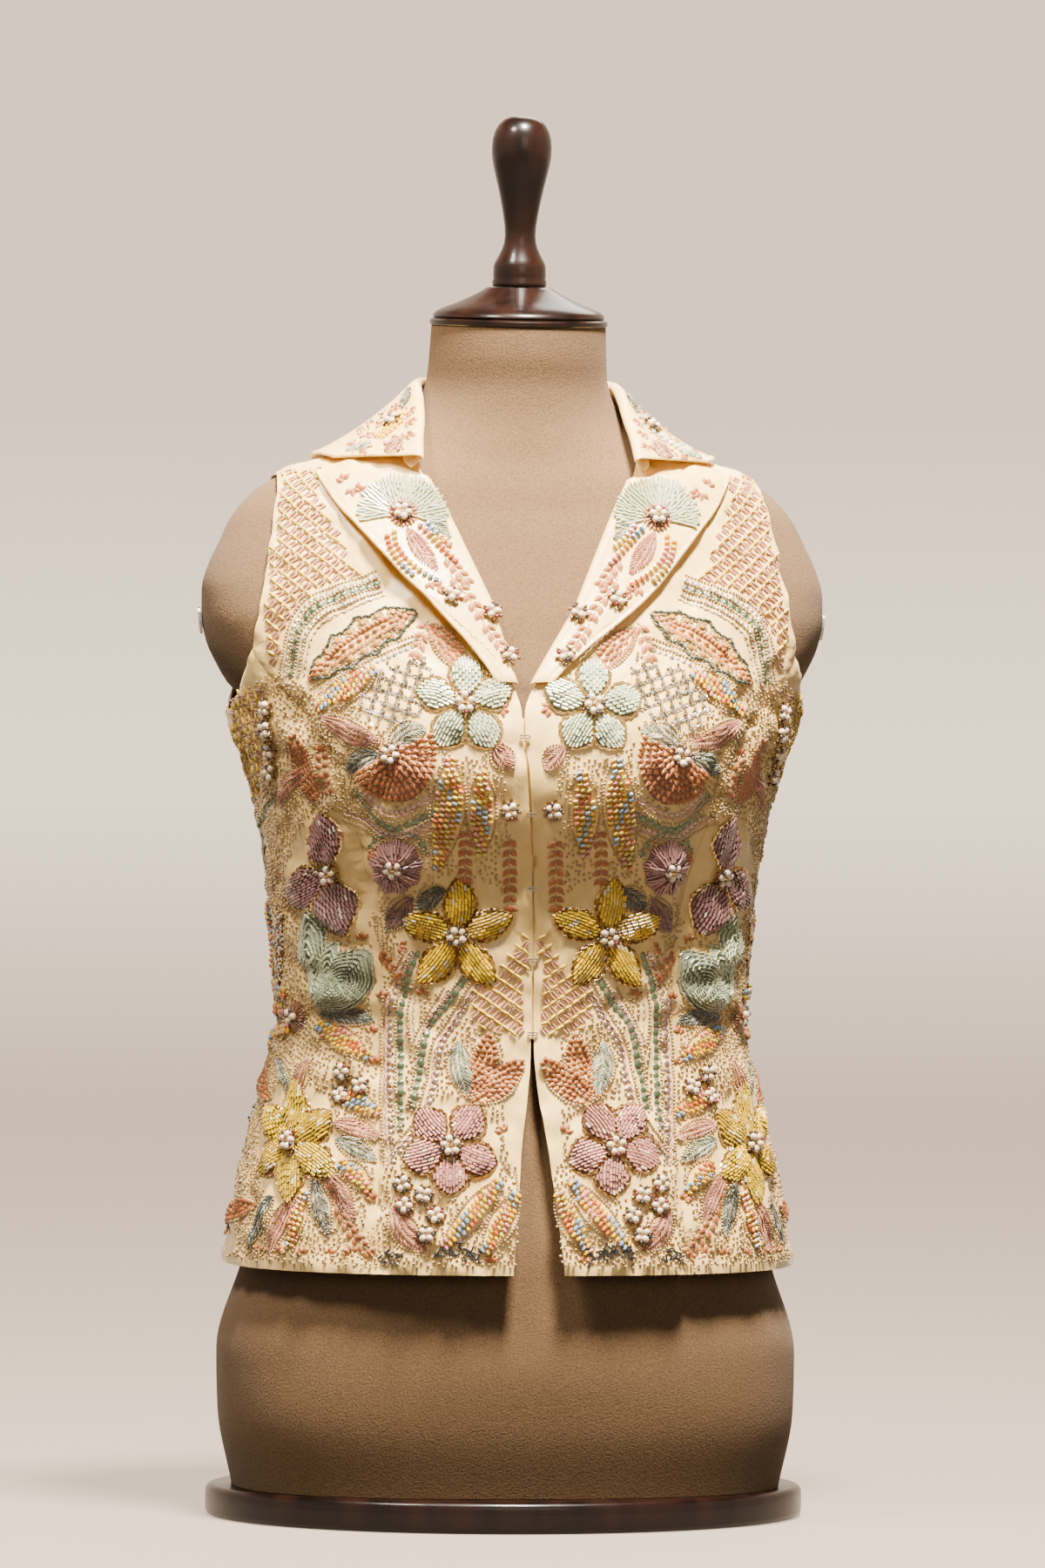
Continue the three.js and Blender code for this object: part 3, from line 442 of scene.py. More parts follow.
neck_tilt = math.atan(NECK_TILT)
cap_base = np.array([0, FIGURE["widest"][-1], NECK_TOP + SEAT_GAP])
turned("turned_cap", CAP, cap_base, "neck_cap")
cap_top = CAP["height"][-1] + SEAT_GAP
handle_base = cap_base + cap_top * np.array([0, -math.sin(neck_tilt), math.cos(neck_tilt)])
turned("turned_handle", HANDLE, handle_base, "neck_handle")

BOARD = {"half_width": 172, "half_depth": 128, "middle": 10, "thickness": 18, "bevel": 4, "count": 128}
bevel_turn = np.radians([0, 22.5, 45, 67.5, 90])
insets, rises = BOARD["bevel"] * (1 - np.sin(bevel_turn)), BOARD["bevel"] * (1 - np.cos(bevel_turn))
rings = ovals(
    np.concatenate([insets, insets[::-1]]), np.concatenate([rises, BOARD["thickness"] - rises[::-1]]),
    BOARD["half_width"], BOARD["half_depth"], BOARD["middle"], BOARD["count"],
)  # fmt: skip
ends = [(0, BOARD["middle"], 0), (0, BOARD["middle"], BOARD["thickness"])]
board_faces = tube_faces(len(rings), BOARD["count"])
board = piece_of("turned_board", np.concatenate([*rings, ends]), board_faces, lacquered_wood, angle=40)
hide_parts("base_board")
brushed_steel = finish_of("brushed_steel", (0.23, 0.22, 0.21), 0.35, Metallic=1.0)
textured(brushed_steel, 300, 0.2, 0.0002, stretch=(1, 1, 12))
for node in ("arm_plate_left", "arm_plate_right"):
    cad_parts[node].material_slots[0].material = brushed_steel

# ---------------------------------------------------------------- jacket panels
# Eight panels of champagne duchess satin, interlined and lined, joined at princess seams, sides and centre
# back. Each is a thin shell on the figure's form with ease. Its creases are soft troughs and ridges.
CLOTH = 2.0
HEM = 145
CLOSURE = table("z x", (HEM, 3.5), (272, 1), (330, 1), (370, -1), (415, -5), (458, -9), (520, 0))
FRONT_EDGE = table(
    "z x",
    (HEM, 14.5), (210, 8), (272, 0.9), (320, 0.6), (458, 0.9), (487, 12), (515, 24), (545, 37), (572, 49),
    (597, 61), (608, 64.5), (618, 67.5), (624, 69), (628, 76),
)  # fmt: skip
FRONT_SEAM = table(
    "z x",
    (HEM, 90), (210, 84), (272, 81), (320, 84), (370, 94), (412, 106), (440, 115), (457, 126), (477, 143),
    (496, 154), (522, 150), (545, 146), (570, 142), (586, 139), (597, 137),
)  # fmt: skip
BACK_EDGE = table("z x", (HEM, 0.2), (617, 0.2), (618, 24), (620.5, 43), (624, 57), (628, 76))
BACK_SEAM = table(
    "z x",
    (HEM, 88), (210, 78), (285, 70), (345, 78), (400, 92), (448, 112), (475, 134), (494, 149), (520, 149),
    (545, 146), (570, 142), (586, 139), (597, 137),
)  # fmt: skip
FRONT_ROWS = table(
    "row inner outer",
    (0, HEM, HEM), (7, 272, 272), (13, 370, 370), (18, 458, 455), (21, 515, 496), (23, 548, 524),
    (25, 580, 553), (27, 603, 577), (29, 620, 592), (30, 628, 597),
)  # fmt: skip
BACK_ROWS = table(
    "row inner outer",
    (0, HEM, HEM), (7, 285, 285), (13, 400, 390), (18, 500, 462), (21, 560, 494), (25, 603, 554),
    (27, 617, 574), (28, 618, 582), (29, 620.5, 588), (30, 624, 593), (31, 628, 597),
)  # fmt: skip
SIDE_ROWS = table("row side", (0, HEM), (7, 282), (13, 366), (18, 432), (21, 461))
ARMHOLE_DIP = 7

satin = finish_of(
    "satin", (0.82, 0.56, 0.185), 0.38, Sheen_Weight=0.15, Sheen_Roughness=0.35, Specular_IOR_Level=0.55
)
textured(satin, 180, 0.45, 0.0010, stretch=(1, 1, 0.35), tint=((0.78, 0.525, 0.165), (0.86, 0.60, 0.21)))

# The cloth laid flat: distance round the figure from the middle of the front, by height.
FLAT_RISE = 2.0
FLAT_STEP = 2.0
FLAT_Z = np.arange(136, 641, FLAT_RISE)
FLAT_TURN = np.linspace(-np.pi, np.pi, 721)
REACH = np.arange(-600, 601, FLAT_STEP)


def flat_tables():
    grid_z, grid_turn = np.meshgrid(FLAT_Z, FLAT_TURN, indexing="ij")
    points = surface(grid_turn - np.pi / 2, grid_z, True)
    steps = np.linalg.norm(np.diff(points, axis=1), axis=-1)
    arc = np.concatenate([np.zeros((len(FLAT_Z), 1)), np.cumsum(steps, axis=1)], axis=1)
    arc -= arc[:, [len(FLAT_TURN) // 2]]
    return arc, np.stack([np.interp(REACH, row, FLAT_TURN) for row in arc])


ARC, TURNS = flat_tables()


def between(grid, z, start, step, at):
    """Reads a grid of values by height and by a second measure, in proportion between its points."""
    row = np.clip((z - FLAT_Z[0]) / FLAT_RISE, 0, grid.shape[0] - 1.001)
    column = np.clip((at - start) / step, 0, grid.shape[1] - 1.001)
    r, c = row.astype(int), column.astype(int)
    t, u = row - r, column - c
    if grid.ndim == 3:
        t, u = t[..., None], u[..., None]
    low = grid[r, c] * (1 - u) + grid[r, c + 1] * u
    return low * (1 - t) + (grid[r + 1, c] * (1 - u) + grid[r + 1, c + 1] * u) * t


def angle_round(s, z):
    """The angle of the cloth that lies `s` round from the middle of the front."""
    s, z = np.broadcast_arrays(np.asarray(s, float), np.asarray(z, float))
    return between(TURNS, z, REACH[0], FLAT_STEP, s) - np.pi / 2


def round_of(angle, z):
    """How far round from the middle of the front an angle is."""
    angle, z = np.broadcast_arrays(np.asarray(angle, float), np.asarray(z, float))
    turn = (angle + np.pi / 2 + np.pi) % (2 * np.pi) - np.pi
    return between(ARC, z, FLAT_TURN[0], FLAT_TURN[1] - FLAT_TURN[0], turn)


def angle_at(x, z, back=False):
    """The angle at which the cloth is `x` from the middle, on the front or the back."""
    half_width, _, _, _, power = section_at(z, True)
    share = np.clip(x / half_width, -1, 1)
    angle = np.arccos(np.sign(share) * np.abs(share) ** (power / 2))
    return angle if back else -angle


def edge_of(rows, z):
    return value_at(rows, "z", "x", z)


# Troughs and ridges of the cloth: place, direction of the line, its length and width, and how high it stands.
# `side` is 1 on the figure's left, -1 on its right and 0 on both.
CREASES = table(
    "side x z direction length width height",
    (-1, 72, 556, 128, 46, 6, -3.0),
    (-1, 84, 548, 122, 52, 5, 2.6),
    (-1, 62, 530, 132, 52, 6, 2.4),
    (-1, 95, 530, 118, 36, 5, -2.2),
    (-1, 76, 540, 126, 40, 4, -2.6),
    (0, 64, 352, 100, 60, 6, 2.0),
    (0, 84, 322, 60, 44, 5, -2.2),
    (0, 78, 300, 40, 40, 5, 1.8),
    (0, 14, 330, 88, 44, 3, -1.2),
    (0, 120, 400, 62, 60, 5, -2.2),
    (0, 108, 414, 66, 44, 5, 1.8),
    (1, 92, 530, 60, 46, 6, -1.6),
    (0, 20, 440, 96, 60, 4, -1.6),
    (0, 11, 400, 84, 50, 3, 1.3),
    (0, 9, 374, 78, 34, 3, -1.3),
    (0, 60, 300, 8, 44, 5, -1.6),
    (0, 96, 350, 84, 110, 9, -5.0),
    (0, 104, 332, 18, 50, 5, -2.8),
    (0, 106, 322, 14, 56, 5, 2.0),
    (0, 104, 312, 8, 56, 5, -2.8),
    (0, 110, 300, 4, 60, 5, 2.2),
    (0, 116, 288, -6, 54, 5, -2.4),
    (0, 112, 346, 26, 50, 5, 2.0),
    (0, 106, 360, 34, 44, 6, -2.4),
    (0, 118, 258, -16, 48, 6, 1.8),
    (0, 110, 244, -22, 46, 6, -1.8),
    (0, 94, 396, 60, 54, 6, -2.0),
    (0, 88, 350, 82, 60, 6, -2.2),
    (0, 22, 262, 30, 34, 4, -1.4),
    (0, 18, 236, 20, 34, 4, 1.2),
    (0, 16, 205, 35, 34, 4, -1.4),
    (0, 30, 200, 82, 60, 6, -1.6),
    (0, 66, 170, 96, 44, 6, 1.8),
    (0, 84, 176, 88, 50, 5, -1.8),
    (0, 110, 172, 84, 50, 6, -1.8),
    (0, 140, 176, 92, 46, 7, 1.6),
    (0, 148, 420, 70, 50, 6, -2.0),
    (0, 130, 446, 44, 44, 6, 1.4),
    (0, 118, 440, 60, 50, 5, -1.8),
    (0, 30, 160, 82, 24, 4, -1.3),
    (0, 52, 158, 98, 22, 4, 1.2),
    (0, 98, 158, 88, 26, 4, -1.5),
    (0, 124, 156, 100, 24, 4, 1.3),
    (0, 9, 188, 52, 26, 3, 1.3),
    (0, 11, 226, 104, 28, 3, -1.3),
    (0, 88, 230, 94, 60, 5, -2.0),
    (0, 96, 262, 70, 40, 5, 1.6),
)
RUMPLE = {"waves": 22, "height": 0.4, "shortest": 9, "longest": 34, "seed": 5}


def rumple_waves():
    draw = np.random.default_rng(RUMPLE["seed"])
    length = draw.uniform(RUMPLE["shortest"], RUMPLE["longest"], RUMPLE["waves"])
    direction = draw.uniform(0, np.pi, RUMPLE["waves"])
    return 2 * np.pi / length, direction, draw.uniform(0, 2 * np.pi, RUMPLE["waves"])


WAVES = rumple_waves()


def crease_lines():
    """Each crease's side, middle, direction and size, on the sides that have it."""
    lines = []
    for side, x, z, direction, *size in zip(*CREASES.values()):
        for on in (1, -1):
            if side in (0, on):
                middle = float(round_of(angle_at(on * x, z), z))
                lines.append((on, middle, z, math.radians(direction), *size))
    return lines


CREASE_LINES = crease_lines()


def creased(s, z):
    """How far creases and rumples lift the cloth at a place on it."""
    height = np.zeros(s.shape)
    for side, middle, middle_z, line, length, width, high in CREASE_LINES:
        across, up = side * (s - middle), z - middle_z
        along = across * math.cos(line) + up * math.sin(line)
        off = -across * math.sin(line) + up * math.cos(line)
        height += high * np.exp(-((along / length * 1.6) ** 2) - (off / width) ** 2)
    for number, direction, start in zip(*WAVES):
        along = s * np.cos(direction) + z * np.sin(direction)
        height += RUMPLE["height"] * np.sin(number * along + start) / 2
    return height


def laid_cloth():
    """The outside of the cloth at every place of it laid flat, with the directions round, up and out."""
    grid_z, grid_s = np.meshgrid(FLAT_Z, REACH, indexing="ij")
    angle = angle_round(grid_s, grid_z)
    around, up, out = directions_at(angle, grid_z, True)
    height = creased(grid_s, grid_z)
    points = surface(angle, grid_z, True) + out * (CLOTH + height)[..., None]
    return np.concatenate([points, around, up, out, height[..., None]], -1)


LAID = laid_cloth()


def cloth_place(s, z, lift=0.0):
    """Points on the outside of the cloth, and the directions round, up and out there."""
    s, z, lift = np.broadcast_arrays(*(np.asarray(a, float) for a in (s, z, lift)))
    laid = between(LAID, z, REACH[0], FLAT_STEP, s)
    around, up, out = laid[..., 3:6], laid[..., 6:9], laid[..., 9:12]
    return laid[..., :3] + out * lift[..., None], around, up, out


def shell_faces(rows, columns):
    """Faces of a closed shell of two grids of points, the outer one first."""
    r, c = np.meshgrid(np.arange(rows - 1), np.arange(columns - 1), indexing="ij")
    a, b = (r * columns + c).ravel(), (r * columns + c + 1).ravel()
    d, e = a + columns, b + columns
    below = rows * columns
    faces = np.concatenate([np.stack([a, b, e, d], 1), np.stack([d, e, b, a], 1) + below]).tolist()
    low, high = np.arange(columns), (rows - 1) * columns + np.arange(columns)
    left, far = np.arange(rows) * columns, np.arange(rows) * columns + columns - 1
    for line in (low.tolist(), high.tolist(), left.tolist(), far.tolist()):
        faces.extend([i, after, below + after, below + i] for i, after in zip(line, line[1:]))
    return faces


def face_out(piece):
    """Makes all normals of a closed piece point outwards."""
    alone(piece)
    bpy.ops.object.mode_set(mode="EDIT")
    bpy.ops.mesh.select_all(action="SELECT")
    bpy.ops.mesh.normals_make_consistent(inside=False)
    bpy.ops.object.mode_set(mode="OBJECT")


def shell(name, outer, inner, finish):
    """A closed shell between two grids, its normals made to face out."""
    rows, columns = outer.shape[:2]
    points = np.concatenate([outer.reshape(-1, 3), inner.reshape(-1, 3)])
    piece = piece_of(name, points, shell_faces(rows, columns), finish)
    face_out(piece)
    bpy.ops.object.shade_smooth_by_angle(angle=math.radians(60))
    return piece


SEAM_DIP = {"deep": 0.9, "wide": 2.2}
PUCKER = {"high": 1.0, "wide": 9.0, "every": 7.5}
EDGE_PUCKER = {"deep": 0.55, "off": 6, "wide": 4}
EDGE_ROLL = {"deep": 0.9, "side": 1.2, "end": 1.5}  # how far a free edge rolls down, and over what width
SHELL_INSIDE, SHELL_LEAST = 0.35, 0.8


def placed_angle(angle, side, back):
    turned_angle = angle if side > 0 else np.pi - angle
    return turned_angle if back else -turned_angle


def side_angle(z, back):
    _, front_depth, back_depth, _, power = section_at(z, True)
    return (0.15 / (back_depth if back else front_depth)) ** (power / 2)


def edge_place(side, x, z, back):
    angle = np.abs(angle_at(x, z, back))
    return placed_angle(np.maximum(angle, side_angle(z, back)), side, back), z


def panel(name, count, fine, columns, inner, outer, dip, sewn):
    """A panel between two edges. `sewn` says which of its inner and outer edges are seams."""
    row = np.linspace(0, count, fine)
    (angle_in, z_in), (angle_out, z_out) = inner(row), outer(row)
    across = np.linspace(0, 1, columns)[None, :]
    sag = dip * 4 * across * (1 - across) * (row[:, None] / count) ** 4
    angle = angle_in[:, None] + (angle_out - angle_in)[:, None] * across
    z = z_in[:, None] + (z_out - z_in)[:, None] * across - sag
    base = surface(angle, z, True)
    out = directions_at(angle, z, True)[2]
    width = np.linalg.norm(base[:, 0] - base[:, -1], axis=-1)[:, None]
    height = CLOTH + between(LAID, z, REACH[0], FLAT_STEP, round_of(angle, z))[..., 12]
    for is_seam, off in zip(sewn, (across * width, (1 - across) * width)):
        if is_seam:
            height -= SEAM_DIP["deep"] * np.exp(-((off / SEAM_DIP["wide"]) ** 2))
            ripple = np.sin(2 * np.pi * z / PUCKER["every"] + 1.7 * np.sin(z / 13))
            beside = np.exp(-((off / PUCKER["wide"]) ** 2)) * (1 - np.exp(-((off / 2) ** 2)))
            height += PUCKER["high"] * ripple * beside
        else:
            height -= EDGE_ROLL["deep"] * np.exp(-((off / EDGE_ROLL["side"]) ** 2))
            ripple = 0.5 + 0.5 * np.sin(2 * np.pi * (z - off) / PUCKER["every"] + np.sin(z / 17))
            beside = np.exp(-(((off - EDGE_PUCKER["off"]) / EDGE_PUCKER["wide"]) ** 2))
            height -= EDGE_PUCKER["deep"] * ripple * beside
    for off in (z - z[:1], z[-1:] - z):
        height -= EDGE_ROLL["deep"] * np.exp(-((off / EDGE_ROLL["end"]) ** 2))
    outer_grid = base + out * height[..., None]
    inner_grid = base + out * np.minimum(SHELL_INSIDE, height - SHELL_LEAST)[..., None]
    return shell(name, outer_grid, inner_grid, satin)


SIDES = ((1, "left"), (-1, "right"))
PANELS = []
for side, word in SIDES:
    for face, back, rows, edge, seam, columns, fine in (
        ("front", False, FRONT_ROWS, FRONT_EDGE, FRONT_SEAM, 34, 130),
        ("back", True, BACK_ROWS, BACK_EDGE, BACK_SEAM, 24, 96),
    ):

        def middle(z):
            return 0 * z if back else side * edge_of(CLOSURE, z)

        def seam_place(row, gap=-0.1):
            z = value_at(rows, "row", "outer", row)
            return edge_place(side, edge_of(seam, z) + gap, z, back)

        def inner_edge(row):
            z = value_at(rows, "row", "inner", row)
            return edge_place(side, edge_of(edge, z) + middle(z), z, back)

        def side_edge(row):
            z = value_at(SIDE_ROWS, "row", "side", row)
            return placed_angle(side_angle(z, back), side, back), z

        def outer_seam(row):
            return seam_place(row, 0.1)

        kind, sewn = f"centre_{face}", (back, True)
        last = rows["row"][-1]
        piece = panel(f"satin_{kind}_{word}", last, fine, columns, inner_edge, seam_place, 0, sewn)
        PANELS.append((piece, kind, word))
        kind, sewn = f"side_{face}", (True, True)
        last, fine, columns = SIDE_ROWS["row"][-1], fine * 3 // 4, columns * 3 // 4
        piece = panel(f"satin_{kind}_{word}", last, fine, columns, outer_seam, side_edge, ARMHOLE_DIP, sewn)
        PANELS.append((piece, kind, word))

for piece, kind, word in PANELS:
    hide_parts(f"{kind}_{word}")

# ---------------------------------------------------------------- lapels, collar and underlap
# The turned-back part of each front and one notched collar, of the same satin over a firm interlining. The
# collar's stand rises to its roll line and its fall lies over the neck seam. Both have a rolled, stitched edge.
# The underlap is a strip folded in half and sewn behind the closed stretch of the front.
LAPEL_EDGE = table(
    "z x",
    (470, 12), (484, 24), (500, 40), (515, 56), (530, 71), (545, 83), (560, 95), (575, 107), (596, 119),
)  # fmt: skip
LAPEL = {"thickness": 1.9, "break_z": 475, "roll_top": 592, "point_z": 594, "roll": 2.6, "lift": 4.7}
LAPEL_SPRING = {1: 2, -1: 8}
COLLAR = table(
    "station seam_angle seam_z roll_x roll_y roll_z edge_angle edge_z sag",
    (0, -62, 596, 62.5, -66, 602, -32, 600, 0),
    (2, -42, 611, 61, -54, 614, -23, 601.5, 1),
    (4, -25, 620, 58.5, -40, 626, -13, 602.5, 5),
    (6, -10, 625, 57, -23, 638, -3, 603, 9),
    (8, 8, 627, 56, -3, 646, 10, 602.5, 8),
    (10, 36, 623, 48, 24, 650, 30, 600, 5),
    (12, 64, 619, 26.5, 44, 652, 58, 597, -4),
    (13, 90, 618, 0, 50, 653, 90, 596, -5),
)
COLLAR_CLOTH = {"thickness": 1.9, "seam_lift": 4.2, "edge_lift": 5.5, "fold": 4.8}
UNDERLAP = {"thickness": 1.5, "half_width": 13, "bottom": 277, "top": 457, "gap": 0.9}


def smooth_line(points, fine=8):
    """Points along a smooth curve through the ones given, in any number of dimensions."""
    given = np.asarray(points, float)
    given = np.concatenate([2 * given[:1] - given[1:2], given, 2 * given[-1:] - given[-2:-1]])
    t = np.linspace(0, 1, fine, endpoint=False)[:, None]
    stretches = [
        0.5 * (2 * b + (c - a) * t + (2 * a - 5 * b + 4 * c - d) * t**2 + (3 * b - a - 3 * c + d) * t**3)
        for a, b, c, d in zip(given, given[1:], given[2:], given[3:])
    ]
    return np.concatenate([*stretches, given[-2:-1]])


def grid_out(grid):
    """The direction out of a grid of points, at each of them."""
    return unit(np.cross(np.gradient(grid, axis=1), np.gradient(grid, axis=0)))


def pinched(grid, thickness, outward, rolled):
    """Both faces of a sheet about its middle, thinned to a round edge. `rolled` raises the outer face."""
    out = grid_out(grid) * outward
    rows, columns = grid.shape[:2]
    fade = np.ones((rows, columns))
    fade[[0, -1], :] = fade[:, [0, -1]] = 0.45
    half = fade * thickness / 2
    return grid + out * (half + rolled)[..., None], grid - out * half[..., None]


def lapel_lift(side, across, share):
    spring = LAPEL_SPRING[side] * np.sin(np.pi * np.minimum(share * 1.15, 1))
    return LAPEL["lift"] + 0.6 * np.sin(np.pi * across) + spring * across


LAPEL_ROWS = 64
for side, word in SIDES:
    share = np.linspace(0, 1, LAPEL_ROWS)
    roll_z = LAPEL["break_z"] + (LAPEL["roll_top"] - LAPEL["break_z"]) * share
    outer_z = LAPEL["break_z"] + (LAPEL["point_z"] - LAPEL["break_z"]) * share
    roll_x = side * edge_of(FRONT_EDGE, roll_z) + edge_of(CLOSURE, roll_z)
    outer_x = side * edge_of(LAPEL_EDGE, outer_z) + edge_of(CLOSURE, outer_z)

    def on_front(x, z, lift):
        angle = angle_at(x, z)
        return surface(angle, z, True) + directions_at(angle, z, True)[2] * np.asarray(lift)[..., None]

    keys = [
        on_front(roll_x - side * LAPEL["roll"], roll_z, np.full(LAPEL_ROWS, 1.4)),
        on_front(roll_x - side * 0.25 * LAPEL["roll"], roll_z, np.full(LAPEL_ROWS, LAPEL["lift"])),
    ]
    for across in (0.08, 0.2, 0.35, 0.5, 0.65, 0.8, 0.92, 1):
        x = roll_x + (outer_x - roll_x) * across
        keys.append(on_front(x, roll_z + (outer_z - roll_z) * across, lapel_lift(side, across, share)))
    middle = np.stack([smooth_line(row, 4) for row in np.stack(keys, 1)])
    from_edge = np.linalg.norm(middle - middle[:, -1:], axis=-1)
    ripple = 0.5 + 0.5 * np.sin(2 * np.pi * roll_z[:, None] / 9 + 1.3 * np.sin(roll_z[:, None] / 11))
    rolled = 0.3 * np.exp(-(((from_edge - 1.6) / 1.2) ** 2))
    rolled -= 0.45 * ripple * np.exp(-(((from_edge - 4) / 1.3) ** 2))
    outer, inner = pinched(middle, LAPEL["thickness"], side, rolled)
    piece = shell(f"satin_lapel_{word}", outer, inner, satin)
    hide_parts(f"lapel_{word}")


def angle_behind(point):
    half_width, front_depth, back_depth, widest, power = section_at(point[..., 2], True)
    y = point[..., 1] - widest
    depth = np.where(y < 0, front_depth + bust_at(point[..., 0], point[..., 2], True), back_depth)
    across = np.abs(point[..., 0] / half_width) ** (power / 2)
    along = np.abs(y / depth) ** (power / 2)
    return np.arctan2(np.sign(y) * along, np.sign(point[..., 0]) * across)


def collar_rows(side, stations):
    """The collar's middle line from its neck seam, up the stand, over the roll and down the fall."""
    row = {column: value_at(COLLAR, "station", column, stations) for column in COLLAR}

    def on_cloth(angle, z, lift):
        angle = placed_angle(np.radians(angle), side, True)
        return surface(angle, z, True) + directions_at(angle, z, True)[2] * lift

    bottom = on_cloth(row["seam_angle"], row["seam_z"], COLLAR_CLOTH["seam_lift"])
    edge = on_cloth(row["edge_angle"], row["edge_z"], COLLAR_CLOTH["edge_lift"])
    roll = np.stack([side * row["roll_x"], row["roll_y"], row["roll_z"]], -1)
    out = directions_at(angle_behind(roll), row["roll_z"], False)[2]
    up = roll - edge
    up = unit(up - out * (up * out).sum(-1, keepdims=True))
    fold = COLLAR_CLOTH["fold"]
    over = roll + out * fold
    top = roll + out * fold / 2 + up * fold / 2
    control = (over + edge) / 2 - out * row["sag"][:, None]
    shares = (0.2, 0.4, 0.6, 0.8, 0.92, 1)
    fall = [over * (1 - f) ** 2 + 2 * control * f * (1 - f) + edge * f**2 for f in shares]
    return np.stack([bottom, (bottom + roll) / 2, roll, top, over, *fall], 1)


COLLAR_FINE = 6  # rows to a station
COLLAR_SPLIT = 4
stations = np.linspace(0, 13, 13 * COLLAR_FINE + 1)
halves = [collar_rows(-1, stations), collar_rows(1, stations)[::-1][1:]]
collar_middle = np.stack([smooth_line(row, COLLAR_SPLIT) for row in np.concatenate(halves)])
from_edge = np.linalg.norm(collar_middle - collar_middle[:, -1:], axis=-1)
rolled = 0.35 * np.exp(-(((from_edge - 1.8) / 1.3) ** 2)) - 0.3 * np.exp(-(((from_edge - 4.2) / 1.2) ** 2))
sign = 1 if (grid_out(collar_middle)[40, -8] * [-1, 0, 0]).sum() > 0 else -1
collar_outer, collar_inner = pinched(collar_middle, COLLAR_CLOTH["thickness"], sign, rolled)
piece = shell("satin_collar", collar_outer, collar_inner, satin)
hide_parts("collar")

rows_z = np.linspace(UNDERLAP["bottom"], UNDERLAP["top"], 60)[:, None]
strip_x = edge_of(CLOSURE, rows_z) + np.linspace(-1, 1, 9)[None, :] * UNDERLAP["half_width"]
strip_x, strip_z = np.broadcast_arrays(strip_x, rows_z)
strip_angle = angle_at(strip_x, strip_z)
strip_lift = -UNDERLAP["gap"] - UNDERLAP["thickness"] / 2
strip = surface(strip_angle, strip_z, True) + directions_at(strip_angle, strip_z, True)[2] * strip_lift
outer, inner = pinched(strip, UNDERLAP["thickness"], 1, 0)
piece = shell("satin_underlap", outer, inner, satin)
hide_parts("underlap")

# ---------------------------------------------------------------- beads, modelled once
# Glass bugles and seed beads, cupped sequins, pearls, faceted stones and stitches of purl and thread, each
# modelled once and then sewn on in copies. A bead is one unit long, wide and high and rests on zero.


def modelled(shape):
    """The points and faces of a bead that `shape` makes, sized to one unit each way."""
    bpy.ops.object.select_all(action="DESELECT")
    shape()
    bead = bpy.context.object
    bpy.ops.object.mode_set(mode="OBJECT")
    points = np.array([vertex.co for vertex in bead.data.vertices])
    faces = [list(face.vertices) for face in bead.data.polygons]
    mesh = bead.data
    bpy.data.objects.remove(bead)
    bpy.data.meshes.remove(mesh)
    low, high = points.min(0), points.max(0)
    points = (points - (low + high) / 2) / (high - low)
    points[:, 2] += 0.5
    return points, faces


def select_where(test):
    """Selects the points of the mesh in edit mode that pass a test."""
    bpy.ops.mesh.select_mode(type="VERT")
    bpy.ops.mesh.select_all(action="DESELECT")
    bpy.ops.object.mode_set(mode="OBJECT")
    for vertex in bpy.context.object.data.vertices:
        vertex.select = test(vertex.co)
    bpy.ops.object.mode_set(mode="EDIT")


def laid_along():
    """Turns a new bead so that its hole runs along it."""
    bpy.ops.object.mode_set(mode="EDIT")
    bpy.ops.mesh.select_all(action="SELECT")
    bpy.ops.transform.rotate(value=math.pi / 2, orient_axis="Y", center_override=(0, 0, 0))


def shape_pearl():
    bpy.ops.mesh.primitive_uv_sphere_add(segments=12, ring_count=8, radius=0.5)
    laid_along()
    select_where(lambda co: abs(co.x) > 0.49)
    bpy.ops.transform.resize(value=(0.86, 1, 1), center_override=(0, 0, 0))


def shape_seed():
    bpy.ops.mesh.primitive_uv_sphere_add(segments=6, ring_count=4, radius=0.5)
    laid_along()
    select_where(lambda co: abs(co.x) > 0.49)
    bpy.ops.transform.resize(value=(0.72, 1, 1), center_override=(0, 0, 0))


def shape_bugle():
    bpy.ops.mesh.primitive_cylinder_add(vertices=5, radius=0.5, depth=1)
    laid_along()
    select_where(lambda co: co.x > 0)
    bpy.ops.transform.resize(value=(1, 0.9, 0.9), center_override=(0.5, 0, 0))


def shape_stitch():
    bpy.ops.mesh.primitive_uv_sphere_add(segments=4, ring_count=4, radius=0.5)
    laid_along()
    select_where(lambda co: abs(co.x) < 0.49)
    bpy.ops.transform.resize(value=(1.3, 1, 1), center_override=(0, 0, 0))


def shape_leaf():
    bpy.ops.mesh.primitive_cone_add(vertices=8, radius1=0.5, radius2=0.3, depth=0.3)
    bpy.ops.object.mode_set(mode="EDIT")
    select_where(lambda co: co.x > 0.33 and abs(co.y) < 0.1)
    bpy.ops.transform.translate(value=(0.22, 0, 0))
    select_where(lambda co: co.x < -0.33 and abs(co.y) < 0.1)
    bpy.ops.transform.translate(value=(-0.12, 0, 0))


def shape_sequin():
    bpy.ops.mesh.primitive_cone_add(vertices=8, radius1=0.5, radius2=0.16, depth=0.22)
    bpy.ops.object.mode_set(mode="EDIT")
    select_where(lambda co: co.z > 0 and co.x > 0)
    bpy.ops.transform.translate(value=(0, 0, -0.03))


def shape_stone():
    bpy.ops.mesh.primitive_ico_sphere_add(subdivisions=1, radius=0.5)
    bpy.ops.object.mode_set(mode="EDIT")
    select_where(lambda co: co.z > 0.4)
    bpy.ops.transform.resize(value=(1, 1, 0.8), center_override=(0, 0, 0))


